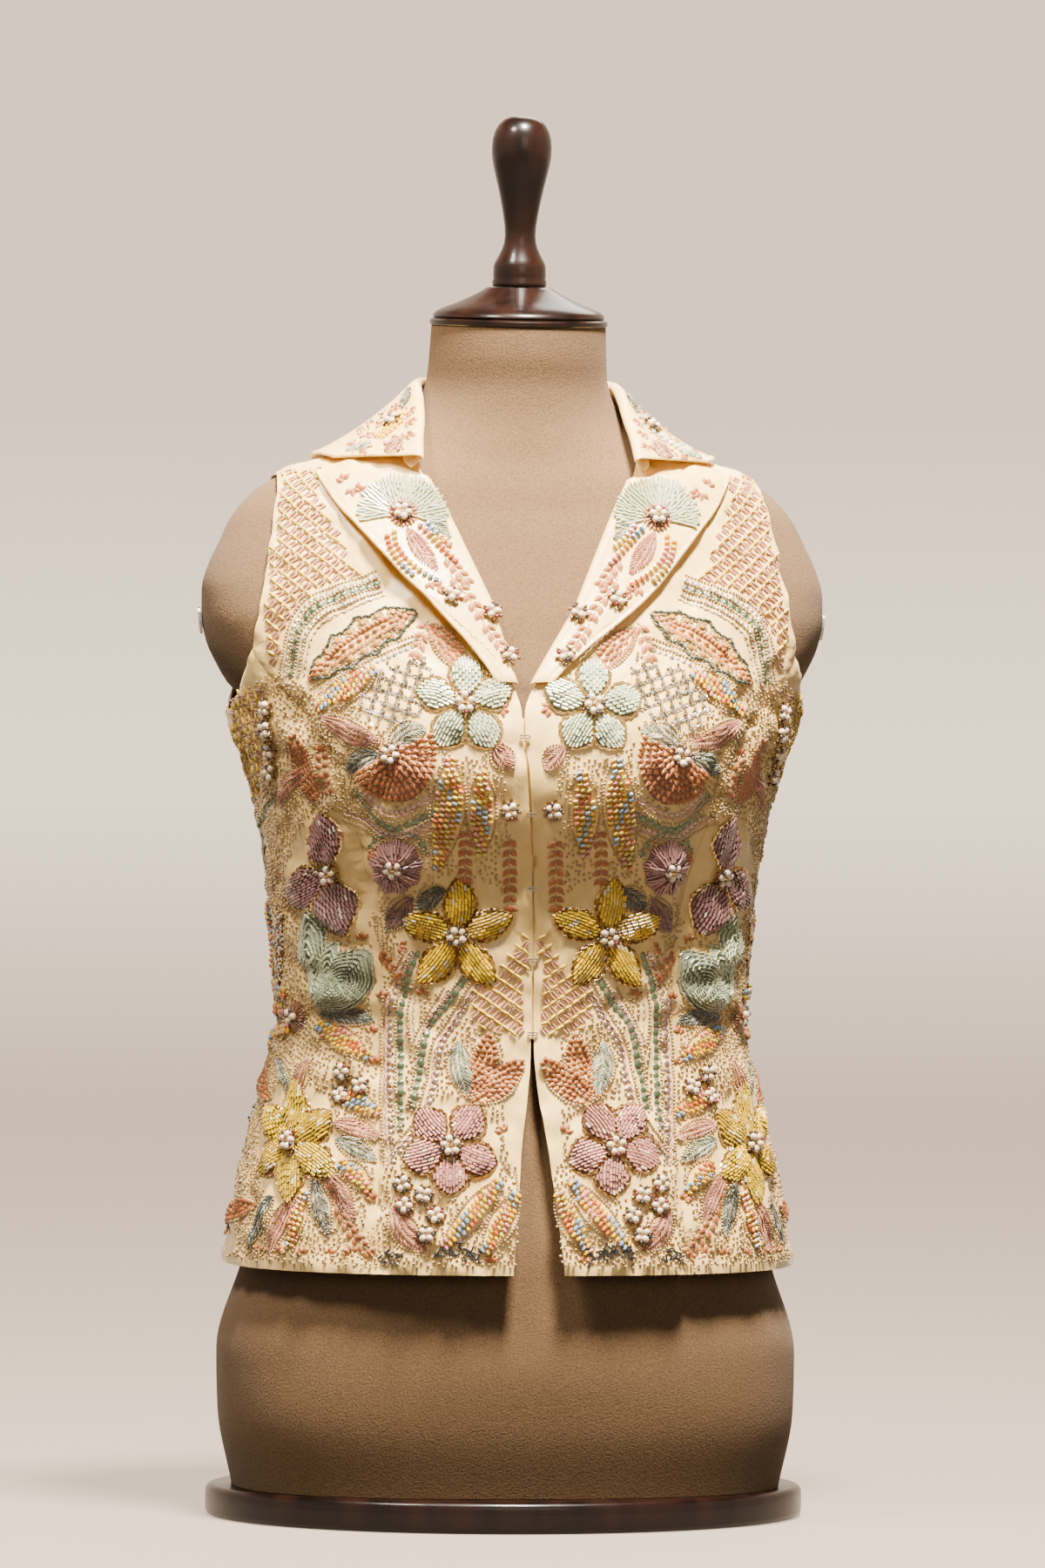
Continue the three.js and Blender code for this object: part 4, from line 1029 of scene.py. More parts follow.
PEARL_BEAD, SEED_BEAD, BUGLE = (modelled(shape) for shape in (shape_pearl, shape_seed, shape_bugle))
STITCH, LEAF_SEQUIN, ROUND_SEQUIN = (modelled(shape) for shape in (shape_stitch, shape_leaf, shape_sequin))
STONE = modelled(shape_stone)

BEAD_SEED = 11
draw = np.random.default_rng(BEAD_SEED)
sewn_beads = {}  # beads waiting to be joined in one piece, by the piece's name
CLOSURE_REACH = 90  # motifs nearer to the middle than this lean with the closure


def place_of(side, x, z):
    """The middle of a motif: how far round it is, and its height. What is near the closure moves with it."""
    moved = side * x + edge_of(CLOSURE, z) * max(0.0, 1 - x / CLOSURE_REACH)
    return float(round_of(angle_at(moved, z), z)), float(z)


def on_jacket(side, x, z):
    """What beads are sewn to: the cloth, a motif's middle on it, and the side of the jacket."""
    return cloth_place, place_of(side, x, z), side


def alike(*values):
    """Numbers and arrays, all as arrays of one shape."""
    return np.broadcast_arrays(*(np.atleast_1d(np.asarray(value, float)) for value in values))


def sew(name, ground, middle, side, u, v, heading, size, tint, lift=0.0, lean=0.0, shake=0.06):
    """Sews beads of a length, width and height on at `u` across and `v` up from a motif's middle."""
    u, v, heading, lift, lean = alike(u, v, heading, lift, lean)
    heading = heading + draw.normal(0, shake, u.shape)
    point, around, up, out = ground(middle[0] + side * u, middle[1] + v, lift)
    along = around * (side * np.cos(heading))[..., None] + up * np.sin(heading)[..., None]
    along, out = (
        along * np.cos(lean)[..., None] + out * np.sin(lean)[..., None],
        out * np.cos(lean)[..., None] - along * np.sin(lean)[..., None],
    )
    across = np.cross(out, along)
    sizes = np.broadcast_to(np.asarray(size, float), (len(u), 3)) * draw.uniform(0.94, 1.06, (len(u), 1))
    basis = np.stack([along, across, out], 1) * sizes[:, :, None]
    tints = np.broadcast_to(np.asarray(tint, float), (len(u), 3)) * draw.uniform(0.9, 1.08, (len(u), 1))
    sewn_beads.setdefault(name, []).append((point, basis, tints))


SMOOTHED, SMOOTHED_BUGLE = 60, 20  # bugles keep their cut faces


def joined(name, bead, finish, nodes=(), rim=None):
    """Joins the beads sewn under a name in one piece, each in its own colour. A rim may have another."""
    points, faces = bead
    place, basis, tints = (np.concatenate(part) for part in zip(*sewn_beads.pop(name)))
    all_points = place[:, None] + np.einsum("vk,nkc->nvc", points, basis)
    loops = np.concatenate(faces)
    sizes = np.array([len(face) for face in faces])
    count = len(place)
    mesh = bpy.data.meshes.new(name)
    mesh.vertices.add(count * len(points))
    mesh.vertices.foreach_set("co", (all_points * MM).ravel())
    mesh.loops.add(count * len(loops))
    mesh.loops.foreach_set("vertex_index", (loops + np.arange(count)[:, None] * len(points)).ravel())
    mesh.polygons.add(count * len(faces))
    starts = np.concatenate([[0], np.cumsum(sizes)[:-1]])
    mesh.polygons.foreach_set("loop_start", (starts + np.arange(count)[:, None] * len(loops)).ravel())
    mesh.update(calc_edges=True)
    tint = mesh.color_attributes.new("tint", "FLOAT_COLOR", "POINT")
    colours = np.ones((count, len(points), 4))
    colours[..., :3] = tints[:, None]
    if rim:
        colours[:, points[:, 2] < 0.5, :3] = rim
    tint.data.foreach_set("color", colours.ravel())
    mesh.validate()
    piece = bpy.data.objects.new(name, mesh)
    bpy.context.scene.collection.objects.link(piece)
    piece.data.materials.append(finish)
    alone(piece)
    bpy.ops.object.shade_smooth_by_angle(angle=math.radians(SMOOTHED_BUGLE if bead is BUGLE else SMOOTHED))
    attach(piece, "root")
    if nodes:
        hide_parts(*nodes)


def tinted(name, roughness, relief=0.0, **sockets):
    """A finish that takes its colour from each bead."""
    finish = finish_of(name, (1, 1, 1), roughness, **sockets)
    if relief:
        textured(finish, 1800, relief, 0.0003)
    nodes, links, shader = nodes_of(finish)
    attribute = nodes.new("ShaderNodeAttribute")
    attribute.attribute_name = "tint"
    links.new(attribute.outputs["Color"], shader.inputs["Base Color"])
    return finish


cut_glass = tinted("cut_glass", 0.34, Specular_IOR_Level=0.55, Coat_Weight=0.12, Coat_Roughness=0.12)
glazed = tinted("glazed_beads", 0.3, Coat_Weight=0.4, Coat_Roughness=0.12)
pearl_shine = tinted("pearl_shine", 0.26, Coat_Weight=0.7, Coat_Roughness=0.15, Sheen_Weight=0.2)
waxed = tinted("waxed_sequins", 0.55, 0.25)
foil = tinted("foil_sequins", 0.22, Metallic=0.55)
silk = tinted("silk_thread", 0.6, 0.5, Sheen_Weight=0.3)
metal_thread = tinted("metal_thread", 0.3, Metallic=0.85)

MINT_GLASS, YELLOW_GLASS = (0.46, 0.50, 0.32), (0.72, 0.46, 0.0)
PINK_GLASS, MAUVE_GLASS = (0.44, 0.20, 0.155), (0.25, 0.12, 0.11)
CORAL_WAX, PEARL_WHITE = (0.29, 0.072, 0.007), (0.68, 0.51, 0.32)
GOLD, BRONZE = (0.38, 0.24, 0.08), (0.15, 0.08, 0.03)
SILVER, GUNMETAL = (0.46, 0.44, 0.40), (0.05, 0.05, 0.05)
SAGE, DARK_SAGE = (0.10, 0.12, 0.075), (0.014, 0.018, 0.013)
ROSE_SILK, CREAM_SILK = (0.34, 0.125, 0.08), (0.50, 0.38, 0.23)
# A pale colour that some petal bugles take as a painted glint.
PAINTED_GLINT = (0.80, 0.68, 0.46)
PASTELS = np.array(
    [
        (0.58, 0.13, 0.02), (0.70, 0.43, 0.0), (0.20, 0.32, 0.46),
        (0.72, 0.40, 0.0), (0.60, 0.23, 0.19), (0.58, 0.46, 0.04),
    ]
)  # fmt: skip


def circle(radius, turns, u=0, v=0):
    """Places at some turns round a middle: across, and up."""
    return u + radius * np.cos(turns), v + radius * np.sin(turns)


def spaced(line, step, offset=0.0):
    """Places every `step` along a line, moved `offset` to its left: across, up, and the line's direction."""
    line = np.asarray(line, float)
    runs = np.diff(line, axis=0)
    length = np.concatenate([[0], np.cumsum(np.hypot(*runs.T))])
    count = max(1, int(length[-1] / step))
    at = (np.arange(count) + 0.5) * length[-1] / count
    i = np.clip(np.searchsorted(length, at) - 1, 0, len(runs) - 1)
    heading = np.arctan2(runs[i, 1], runs[i, 0])
    u, v = np.interp(at, length, line[:, 0]), np.interp(at, length, line[:, 1])
    return u - offset * np.sin(heading), v + offset * np.cos(heading), heading


def leaf_place(line, width, t, q, blunt=0.75):
    """A place in a leaf: `t` along its midline from 0 to 1, and `q` across it from -1 to 1."""
    line = np.asarray(line, float)
    runs = np.diff(line, axis=0)
    length = np.concatenate([[0], np.cumsum(np.hypot(*runs.T))])
    at = np.clip(t, 0, 1) * length[-1]
    i = np.clip(np.searchsorted(length, at) - 1, 0, len(runs) - 1)
    heading = np.arctan2(runs[i, 1], runs[i, 0])
    half = width / 2 * np.sin(np.pi * np.clip(t, 0.002, 0.998) ** blunt) ** 0.75
    u = np.interp(at, length, line[:, 0]) - q * half * np.sin(heading)
    v = np.interp(at, length, line[:, 1]) + q * half * np.cos(heading)
    return u, v, heading, half


def leaf_rim(line, width, blunt=0.75, out=0.0):
    t = np.linspace(0.01, 0.99, 28)
    u, v, _, _ = leaf_place(line, width + 2 * out, t, np.ones_like(t), blunt)
    w, x, _, _ = leaf_place(line, width + 2 * out, t[::-1], -np.ones_like(t), blunt)
    return np.stack([np.concatenate([u, w, u[:1]]), np.concatenate([v, x, v[:1]])], 1)


PAD_ROWS, PAD_COLUMNS = 16, 11
PAD_SINK = 0.4  # how far felt is sunk in the cloth


def pad_height(t, q):
    return np.sqrt(np.clip(1 - q * q, 0, 1)) * np.sin(np.pi * np.clip(t, 0, 1)) ** 0.5


def padding(line, width, high, ground, middle, side, blunt=0.75):
    """The domed felt under raised beads, as the points and faces of a closed shell."""
    t, q = np.meshgrid(np.linspace(0.02, 0.98, PAD_ROWS), np.linspace(-1, 1, PAD_COLUMNS), indexing="ij")
    t, q = t.ravel(), q.ravel()
    u, v, _, _ = leaf_place(line, width, t, q, blunt)
    lifts = (high * pad_height(t, q), -PAD_SINK)
    both = [ground(middle[0] + side * u, middle[1] + v, lift)[0] for lift in lifts]
    return np.concatenate(both), shell_faces(PAD_ROWS, PAD_COLUMNS)


def together(parts):
    """The points and faces of several closed shapes, as one list of each."""
    points, faces = [], []
    for part_points, part_faces in parts:
        base = sum(len(p) for p in points)
        points.append(part_points)
        faces.extend([base + i for i in face] for face in part_faces)
    return np.concatenate(points), faces


def felt_piece(name, pads, colour, nodes):
    """Joins paddings in one piece in the beads' own colour, which stands for the frame's raised solids."""
    finish = finish_of(f"{name}_felt", colour, 0.8)
    textured(finish, 700, 0.6, 0.0006)
    piece = piece_of(name, *together(pads), finish)
    face_out(piece)
    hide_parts(*nodes)


PETAL_BUGLE, PETAL_ROWS, PAINTED_BLAZE = (3.1, 1.5, 1.3), 1.75, 0.6


def petal_beads(name, line, width, high, tint, place, blunt):
    """Rows of bugles that run side by side along a petal and end at its rim, some with painted highlights."""
    t = np.linspace(0.02, 0.98, 60)
    half = leaf_place(line, width, t, 0 * t, blunt)[3]
    count = int(width / 2 / PETAL_ROWS)
    for off in np.arange(-count, count + 1) * PETAL_ROWS:
        within = t[half > abs(off) + 0.3]
        if len(within) < 4:
            continue
        q = off / leaf_place(line, width, within, 0 * within, blunt)[3]
        u, v, _, _ = leaf_place(line, width, within, q, blunt)
        a, b, heading = spaced(np.stack([u, v], 1), PETAL_BUGLE[0] * 1.04)
        at = (np.arange(len(a)) + 0.5) / len(a)
        high_at = pad_height(within, q)[(at * (len(within) - 1)).round().astype(int)]
        # Painted highlights: a fifth of the bugles are painted brighter and a few take the pale glint colour.
        bright = 1 + PAINTED_BLAZE * (draw.random((len(a), 1)) > 0.8)
        shown = np.where(draw.random((len(a), 1)) > 0.07, np.asarray(tint) * bright, PAINTED_GLINT)
        sew(name, *place, a, b, heading, PETAL_BUGLE, shown, high * high_at - 0.25, shake=0.04)


def chain(name, line, tint, place, link=(2.3, 1.15, 1.2), lift=0.0):
    """A fine chain couched down along a line: links that turn a little to either side."""
    u, v, heading = spaced(line, link[0] * 0.86)
    if np.ndim(tint) == 2:
        tint = np.asarray(tint)[draw.integers(len(tint), size=len(u))]
    turned_links = 0.42 * np.where(np.arange(len(u)) % 2 == 0, 1, -1)
    sew(name, *place, u, v, heading + turned_links, link, tint, lift)


NIGHT_STONE, GARNET = (0.012, 0.008, 0.008), (0.12, 0.004, 0.012)


def cluster(u, v, place, lift=0.0, pearls=4, reach=2.9, name="jacket"):
    """A cluster of pearls round a gold bead, ringed with small gold beads and dark stones."""
    start = draw.uniform(0, 2 * np.pi)
    turns = start + 2 * np.pi * np.arange(pearls) / pearls
    sew(f"{name}_pearls", *place, *circle(reach, turns, u, v), turns, (4.2, 4.2, 4.2), PEARL_WHITE, lift)
    sew(f"{name}_metal", *place, u, v, 0, (2.4, 2.4, 3.4), GOLD, lift)
    ring = start + 2 * np.pi * (np.arange(2 * pearls) + 0.5) / (2 * pearls)
    sew(f"{name}_metal", *place, *circle(reach + 2.5, ring, u, v), ring, (2.1, 2.1, 2.0), BRONZE, lift * 0.6)
    turns = turns + np.pi / pearls
    dark = np.where(draw.random((pearls, 1)) > 0.2, NIGHT_STONE, GARNET)
    sew(f"{name}_stones", *place, *circle(reach + 1.3, turns, u, v), turns, (2.3, 2.3, 2.4), dark, lift + 1.2)


# ---------------------------------------------------------------- flowers
# Flowers of glass bugles sewn in rows over felt padding: mint at the bust, yellow at the waist and side, pink
# over the hem and mauve at the side. A couched metal chain edges each petal and the middle holds pearls.
FIVE = (90, 162, 234, 306, 18)
CLEAR_GOLD = (0.50, 0.36, 0.15)
EDGE = (CLEAR_GOLD, GOLD, BRONZE)
FLOWERS = (  # name, place, radius, petals' width, bluntness and turns, colours of beads and edge, and slot
    ("mint", 36, 463, 28, 19, 1.15, FIVE, (0.52, 0.56, 0.37), (CLEAR_GOLD, CLEAR_GOLD, GOLD), "mint_beads"),
    ("yellow", 42, 335, 34, 17.5, 0.95, FIVE, YELLOW_GLASS, EDGE, "yellow_beads"),
    ("pink", 46, 216, 28, 20, 1.15, [turn + 36 for turn in FIVE], PINK_GLASS, EDGE, "pink_beads"),
    ("side", 129, 216, 35, 20, 0.85, (30, 90, 150, 210, 270, 330), (0.47, 0.305, 0.0), EDGE, "yellow_beads"),
    ("mauve", 111, 368, 36, 25, 0.9, (72, 340, 248), MAUVE_GLASS, EDGE, "mauve_beads"),
)
PETAL_HIGH = 2.6
PETAL_START = 4

for kind, x, z, full_radius, full_width, blunt, petals, tint, edge, slot in FLOWERS:
    name = f"flower_{kind}"
    pads, replaced = [], []
    for side, word in SIDES:
        place = on_jacket(side, x, z)
        replaced.append(f"{name}_{word}")
        for petal in petals:
            a = math.radians(petal + draw.uniform(-4, 4))
            radius = full_radius * draw.uniform(0.96, 1.03)
            bend = draw.uniform(-1.5, 1.5)
            way, aside = np.array([math.cos(a), math.sin(a)]), np.array([-math.sin(a), math.cos(a)])
            halfway = (PETAL_START + radius) / 2 * way + bend * aside
            line = smooth_line([PETAL_START * way, halfway, radius * way], 10)
            width = full_width * draw.uniform(0.95, 1.04)
            pads.append(padding(line, width - 1.5, PETAL_HIGH - 0.6, *place, blunt=blunt))
            petal_beads(f"{name}_bugles", line, width - 1.5, PETAL_HIGH, tint, place, blunt)
            for out in (0, 0.8):
                chain(f"{name}_chain", leaf_rim(line, width, blunt, out), edge, place, lift=0.2)
        cluster(0, 0, place, lift=2.2, pearls=5, reach=3.6, name="flower")
    felt_piece(f"{name}_padding", pads, tuple(0.55 * c for c in tint), replaced)
    joined(f"{name}_bugles", BUGLE, cut_glass)
    joined(f"{name}_chain", STITCH, metal_thread)
joined("flower_pearls", PEARL_BEAD, pearl_shine)
joined("flower_metal", SEED_BEAD, metal_thread)
joined("flower_stones", STONE, cut_glass)

# ---------------------------------------------------------------- leaves of beads, thread and sequins
# Small leaves between the flowers: crossways rows of pastel seed beads, slanting stitches of silk or bright
# purl, and coral leaf sequins that overlap like scales. Each is edged with clear beads sewn on one by one.
CLEAR = (0.42, 0.29, 0.12)
covered = {1: [], -1: []}  # outlines of what is already sewn on each side, for the ground to keep clear of


def mark_round(side, x, z, radius, step):
    """Marks a round motif as covered."""
    s, z = place_of(side, x, z)
    covered[side].append(np.stack(circle(radius, np.radians(np.arange(0, 360, step)), side * s, z), 1))


def line_of(side, *points, fine=8):
    """A smooth line through places given as across and up, as distances round the figure."""
    return smooth_line([(side * place_of(side, x, z)[0], z) for x, z in points], fine)


def length_of(line):
    return float(np.hypot(*np.diff(line, axis=0).T).sum())


LEAF_BLUNT = 0.9


def clear_edge(line, width, place):
    u, v, heading = spaced(leaf_rim(line, width, LEAF_BLUNT, 1.3), 1.9)
    tint = np.where(draw.random((len(u), 1)) > 0.25, CLEAR, GOLD)
    sew("leaf_edges", *place, u, v, heading, (1.7, 1.5, 1.3), tint, -0.1)


def bead_leaf(line, width, place, slant=0.35):
    """Crossways rows of seed beads, coloured in slanting runs."""
    count = max(2, int(length_of(line) / 2.95))
    run = draw.integers(6)
    for i in range(count):
        t = (i + 0.5) / count
        half = leaf_place(line, width, np.array([t]), np.zeros(1), LEAF_BLUNT)[3][0]
        across = max(2, int(2 * half / 3.1))
        q = (np.arange(across) - (across - 1) / 2) * 3.1 / half
        slanted = np.full(across, t) + 0.3 * slant * q * half / length_of(line)
        u, v, heading, _ = leaf_place(line, width, slanted, q, LEAF_BLUNT)
        colour = (run + (i + 2 * np.arange(across) + (draw.random(across) > 0.7)) // 2) % len(PASTELS)
        high = 0.9 * pad_height(np.full(across, t), np.clip(q, -0.9, 0.9))
        heading = heading + np.pi / 2 + slant
        sew("leaf_beads", *place, u, v, heading, (2.75, 2.7, 2.5), PASTELS[colour], high, shake=0.1)


def thread_leaf(line, width, tints, place, slant=0.6, lay=1.45, high=1.2):
    """Four files of short stitches that slant out from the midline to the rim."""
    count = max(3, int(length_of(line) / lay))
    for q in (-0.74, -0.25, 0.25, 0.74):
        t = (np.arange(count) + 0.5 + draw.uniform(-0.2, 0.2, count)) / count
        u, v, heading, half = leaf_place(line, width, t, np.full(count, q), LEAF_BLUNT)
        size = np.stack([np.clip(0.62 * half + 1, 2.4, 5), np.full(count, 1.05), np.full(count, 0.9)], 1)
        tint = np.array(tints, float)[draw.integers(len(tints), size=count)]
        heading, lift = heading + np.sign(q) * slant, high * pad_height(t, np.full(count, q))
        sew("leaf_thread", *place, u, v, heading, size, tint, lift, shake=0.12)


def sequin_leaf(line, width, place, step=2.9, tint=CORAL_WAX):
    """Leaf sequins sewn like scales, pointing out along the leaf."""
    count = max(2, int(length_of(line) / step))
    for i in range(count):
        t = (i + 0.5) / count
        half = leaf_place(line, width, np.array([t]), np.zeros(1), LEAF_BLUNT)[3][0]
        across = max(1, int(2 * half / 2.9)) + i % 2
        q = np.linspace(-0.85, 0.85, across) if across > 1 else np.zeros(1)
        u, v, heading, _ = leaf_place(line, width, np.full(across, t), q, LEAF_BLUNT)
        heading, lift = heading + 0.8 * q, 0.2 + 0.5 * t
        sew("leaf_sequins", *place, u, v, heading, (5.0, 3.2, 1.0), tint, lift, lean=0.3, shake=0.14)


SPRIG_SEQUIN, TREFOIL_SEQUIN = (6.6, 4.0, 1.0), (5.8, 3.4, 1.0)


def sprig(line, place, step=4.9):
    """A stem of thread with pairs of leaf sequins and one at its tip."""
    u, v, heading = spaced(line, step)
    for way in (-0.75, 0.75):
        out = heading + way
        pair = circle(3.1, out, u, v)
        sew("leaf_sequins", *place, *pair, out, SPRIG_SEQUIN, CORAL_WAX, 0.15, lean=0.1, shake=0.15)
    sew("leaf_sequins", *place, *line[-1], heading[-1], SPRIG_SEQUIN, CORAL_WAX, 0.15)
    chain("stems", line, CREAM_SILK, place, link=(2.6, 0.75, 0.7))


def trefoil(u, v, degrees_round, place):
    """Three leaf sequins from one point."""
    out = math.radians(degrees_round) + np.array([-0.85, 0, 0.85])
    three = circle(3, out, u, v)
    sew("leaf_sequins", *place, *three, out, TREFOIL_SEQUIN, CORAL_WAX, 0.15, lean=0.1, shake=0.1)


THREADS = {
    "rose": ((0.38, 0.13, 0.055), (0.30, 0.09, 0.04), (0.46, 0.20, 0.10), ROSE_SILK),
    "sage": (SAGE, (0.30, 0.32, 0.21), (0.17, 0.20, 0.12), (0.44, 0.43, 0.33)),
    "dark": (DARK_SAGE, SAGE, (0.30, 0.30, 0.23), DARK_SAGE),
    "night": (DARK_SAGE, (0.05, 0.06, 0.05), DARK_SAGE),
    "plum": ((0.08, 0.03, 0.035), (0.20, 0.10, 0.05), MAUVE_GLASS),
}
LEAVES = (  # kind, width and the places that its midline goes through, from its root to its tip
    ("beads", 13, (88, 483), (105, 472), (120, 461)),
    ("rose", 12, (117, 456), (102, 447), (86, 443)),
    ("sage", 13, (81, 439), (71, 447), (60, 450)),
    ("dark", 12, (87, 436), (96, 433), (105, 427)),
    ("beads", 17, (46, 435), (48, 406), (53, 373)),
    ("beads", 14, (28, 428), (29, 403), (29, 380)),
    ("rose", 11, (20, 441), (15, 435), (10, 428)),
    ("coral", 18, (118, 409), (126, 428), (131, 448)),
    ("rose", 11, (126, 427), (133, 418), (136, 408)),
    ("night", 12, (49, 361), (56, 357), (63, 350)),
    ("plum", 13, (66, 357), (73, 348), (80, 337)),
    ("dark", 10, (114, 289), (100, 289), (86, 286)),
    ("beads", 13, (114, 283), (102, 275), (88, 265)),
    ("beads", 11, (105, 244), (95, 240), (83, 234)),
    ("rose", 9, (107, 228), (95, 225), (83, 221)),
    ("sage", 10, (107, 219), (97, 215), (86, 208)),
    ("beads", 11, (105, 206), (97, 200), (89, 190)),
    ("beads", 10, (128, 300), (136, 304), (143, 304)),
    ("beads", 9, (130, 291), (137, 290), (143, 287)),
    ("beads", 9, (127, 280), (134, 275), (139, 268)),
    ("coral", 15, (37, 243), (27, 262), (24, 280)),
    ("coral", 15, (34, 241), (19, 252), (5, 265)),
    ("sage", 12, (41, 275), (40, 260), (36, 245)),
    ("dark", 10, (138, 186), (145, 172), (151, 157)),
    ("rose", 10, (130, 185), (136, 170), (141, 154)),
    ("beads", 10, (122, 190), (127, 174), (131, 158)),
    ("dark", 10, (118, 197), (115, 180), (112, 165)),
    ("rose", 11, (112, 201), (105, 189), (98, 174)),
    ("rose", 14, (77, 183), (72, 170), (61, 158)),
    ("beads", 12, (20, 198), (35, 179), (52, 160)),
    ("beads", 12, (11, 191), (20, 174), (30, 157)),
    ("coral", 12, (58, 508), (46, 494), (33, 480)),
    ("rose", 9, (118, 263), (124, 250), (126, 240)),
    ("sage", 8, (134, 262), (130, 252), (129, 240)),
    ("coral", 13, (138, 240), (146, 252), (149, 268)),
    ("beads", 10, (141, 352), (144, 340), (145, 326)),
    ("sage", 10, (118, 330), (114, 342), (110, 352)),
    ("coral", 11, (148, 180), (158, 172), (165, 160)),
    ("beads", 11, (152, 345), (153, 330), (153, 314)),
)
SPRIGS = (
    ((37, 397), (38, 382), (38, 366)),
    ((13, 392), (13, 370), (13, 350)),
    ((59, 511), (63, 500), (66, 490)),
    ((111, 411), (115, 425), (118, 440)),
    ((112, 198), (102, 172), (90, 157)),
    ((118, 320), (110, 312), (106, 304)),
    ((86, 326), (78, 318), (73, 312)),
)
TREFOILS = (  # across, up and the way each points
    (17, 224, 60), (88, 186, 60), (95, 331, 90), (73, 329, 200), (87, 279, 90), (86, 262, 90), (81, 299, 80),
    (60, 301, 80), (90, 381, 250), (26, 152, 90), (100, 156, 80), (112, 155, 100), (124, 154, 70),
    (136, 154, 110), (146, 154, 90), (88, 380, 20), (118, 398, 240), (14, 462, 200),
)  # fmt: skip
FROM_MIDDLE = {side: (cloth_place, (0, 0), side) for side in (1, -1)}  # where lines are placed from

for side in (1, -1):
    place = FROM_MIDDLE[side]
    for _, x, z, radius, *_ in FLOWERS:
        mark_round(side, x, z, radius, 15)
    for kind, width, *points in LEAVES:
        line = line_of(side, *points)
        if kind == "beads":
            bead_leaf(line, width, place)
        elif kind == "coral":
            sequin_leaf(line, width, place)
        else:
            thread_leaf(line, width, THREADS[kind], place)
        clear_edge(line, width, place)
        covered[side].append(leaf_rim(line, width, LEAF_BLUNT, 2.2))
    for points in SPRIGS:
        line = line_of(side, *points)
        sprig(line, place)
        covered[side].append(leaf_rim(line, 11, LEAF_BLUNT))
    for x, z, turn in TREFOILS:
        s, z = place_of(side, x, z)
        trefoil(side * s, z, turn, place)

# ---------------------------------------------------------------- bands, arches and stems
# Lines of couched thread with round sequins along them: the arches over the bust, the swags under it, the
# stems that fall from the yellow flower to the hem, and short lines down the side.
GREY_SEQUIN, GREEN_SEQUIN, CLEAR_SEQUIN = (0.22, 0.155, 0.125), (0.065, 0.10, 0.05), (0.46, 0.39, 0.29)
PALE_ROSE, OLIVE_SILK = (0.58, 0.32, 0.23), (0.15, 0.135, 0.07)


def sequin_line(line, tint, place, size=3.5, offset=0.0):
    u, v, heading = spaced(line, size * 1.12, offset)
    sew("band_sequins", *place, u, v, heading, (size, size, 0.8), tint, 0.15, lean=0.12)


def band(kind, line, place):
    """A line of sequins held by couched thread, with clear beads beside it."""
    if kind == "rose":
        chain("band_thread", line, PALE_ROSE, place, link=(2.7, 1.35, 1.1), lift=0.1)
        sequin_line(line, GREY_SEQUIN, place, offset=-2.1)
    elif kind == "green":
        chain("band_thread", line, OLIVE_SILK, place, link=(2.4, 3.2, 0.7), lift=-0.15)
        sequin_line(line, GREEN_SEQUIN, place, size=4.3)
        beside = np.stack(spaced(line, 2.0, 2.4)[:2], 1)
        chain("band_thread", beside, CREAM_SILK, place, link=(2.2, 0.7, 0.7))
    elif kind == "clear":
        sequin_line(line, CLEAR_SEQUIN, place, size=3.2)
    else:
        chain("band_thread", line, CREAM_SILK, place, link=(2.4, 0.9, 0.8))
    u, v, heading = spaced(line, 2.0, 2.9)
    sew("band_beads", *place, u, v, heading, (1.6, 1.5, 1.3), CLEAR, -0.1, shake=0.3)


BANDS = (
    ("rose", (97, 414), (77, 402), (55, 413)),
    ("green", (102, 416), (79, 396), (55, 405)),
    ("rose", (105, 403), (80, 390), (55, 397)),
    ("rose", (67, 326), (75, 308), (79, 288), (80, 240), (79, 205)),
    ("green", (63, 326), (69, 307), (71.5, 290), (72, 246), (73, 224)),
    ("cream", (64, 306), (65, 290), (63, 272)),
    ("rose", (46, 305), (57, 286), (62, 274)),
    ("green", (36, 313), (46, 297), (56, 284), (61, 262), (66, 236)),
    ("rose", (31, 309), (43, 288), (52, 272), (56, 250), (64, 228), (76, 213)),
    ("clear", (86, 536), (107, 528), (126, 519), (133, 506), (136, 490), (138, 478)),
    ("green", (85, 532), (106, 524), (122, 516), (129, 505), (132, 490), (134, 478)),
    ("clear", (84, 528), (104, 520), (119, 512), (125.5, 503), (128.5, 490), (130, 478)),
    ("cream", (83, 525), (103, 517), (117, 509), (122.5, 501), (125.5, 490), (127, 479)),
    ("cream", (64, 500), (88, 491), (108, 480), (122, 470)),
    ("clear", (66, 496), (88, 487), (106, 476), (118, 467)),
    ("green", (140, 410), (143, 392), (141, 374)),
    ("cream", (146, 412), (149, 392), (147, 370)),
    ("clear", (143, 411), (146, 392), (144, 372)),
    ("rose", (151, 412), (154, 392), (152, 366)),
    ("cream", (155, 410), (157.5, 390), (155.5, 362)),
    ("green", (158, 408), (160, 388), (158, 356)),
)
for side in (1, -1):
    for kind, *points in BANDS:
        line = line_of(side, *points)
        band(kind, line, FROM_MIDDLE[side])
        covered[side].append(leaf_rim(line, 7, LEAF_BLUNT))

# ---------------------------------------------------------------- trellises and net
# Trellis fillings at the shoulder, at the closure and down the side: long yellow stitches with pairs of pink
# bugles laid across between them. The net under the arches is twisted silver chain, laid in squares.
PINK_BUGLE, YELLOW_STITCH = (0.48, 0.235, 0.15), (0.58, 0.385, 0.0)


def inside(corners, u, v):
    """Whether places are inside an outline."""
    found = np.zeros(np.shape(u), bool)
    for (a, b), (c, d) in zip(corners, np.roll(corners, -1, axis=0)):
        found ^= ((b > v) != (d > v)) & (u < a + (c - a) * (v - b) / (d - b if d != b else 1e-9))
    return found


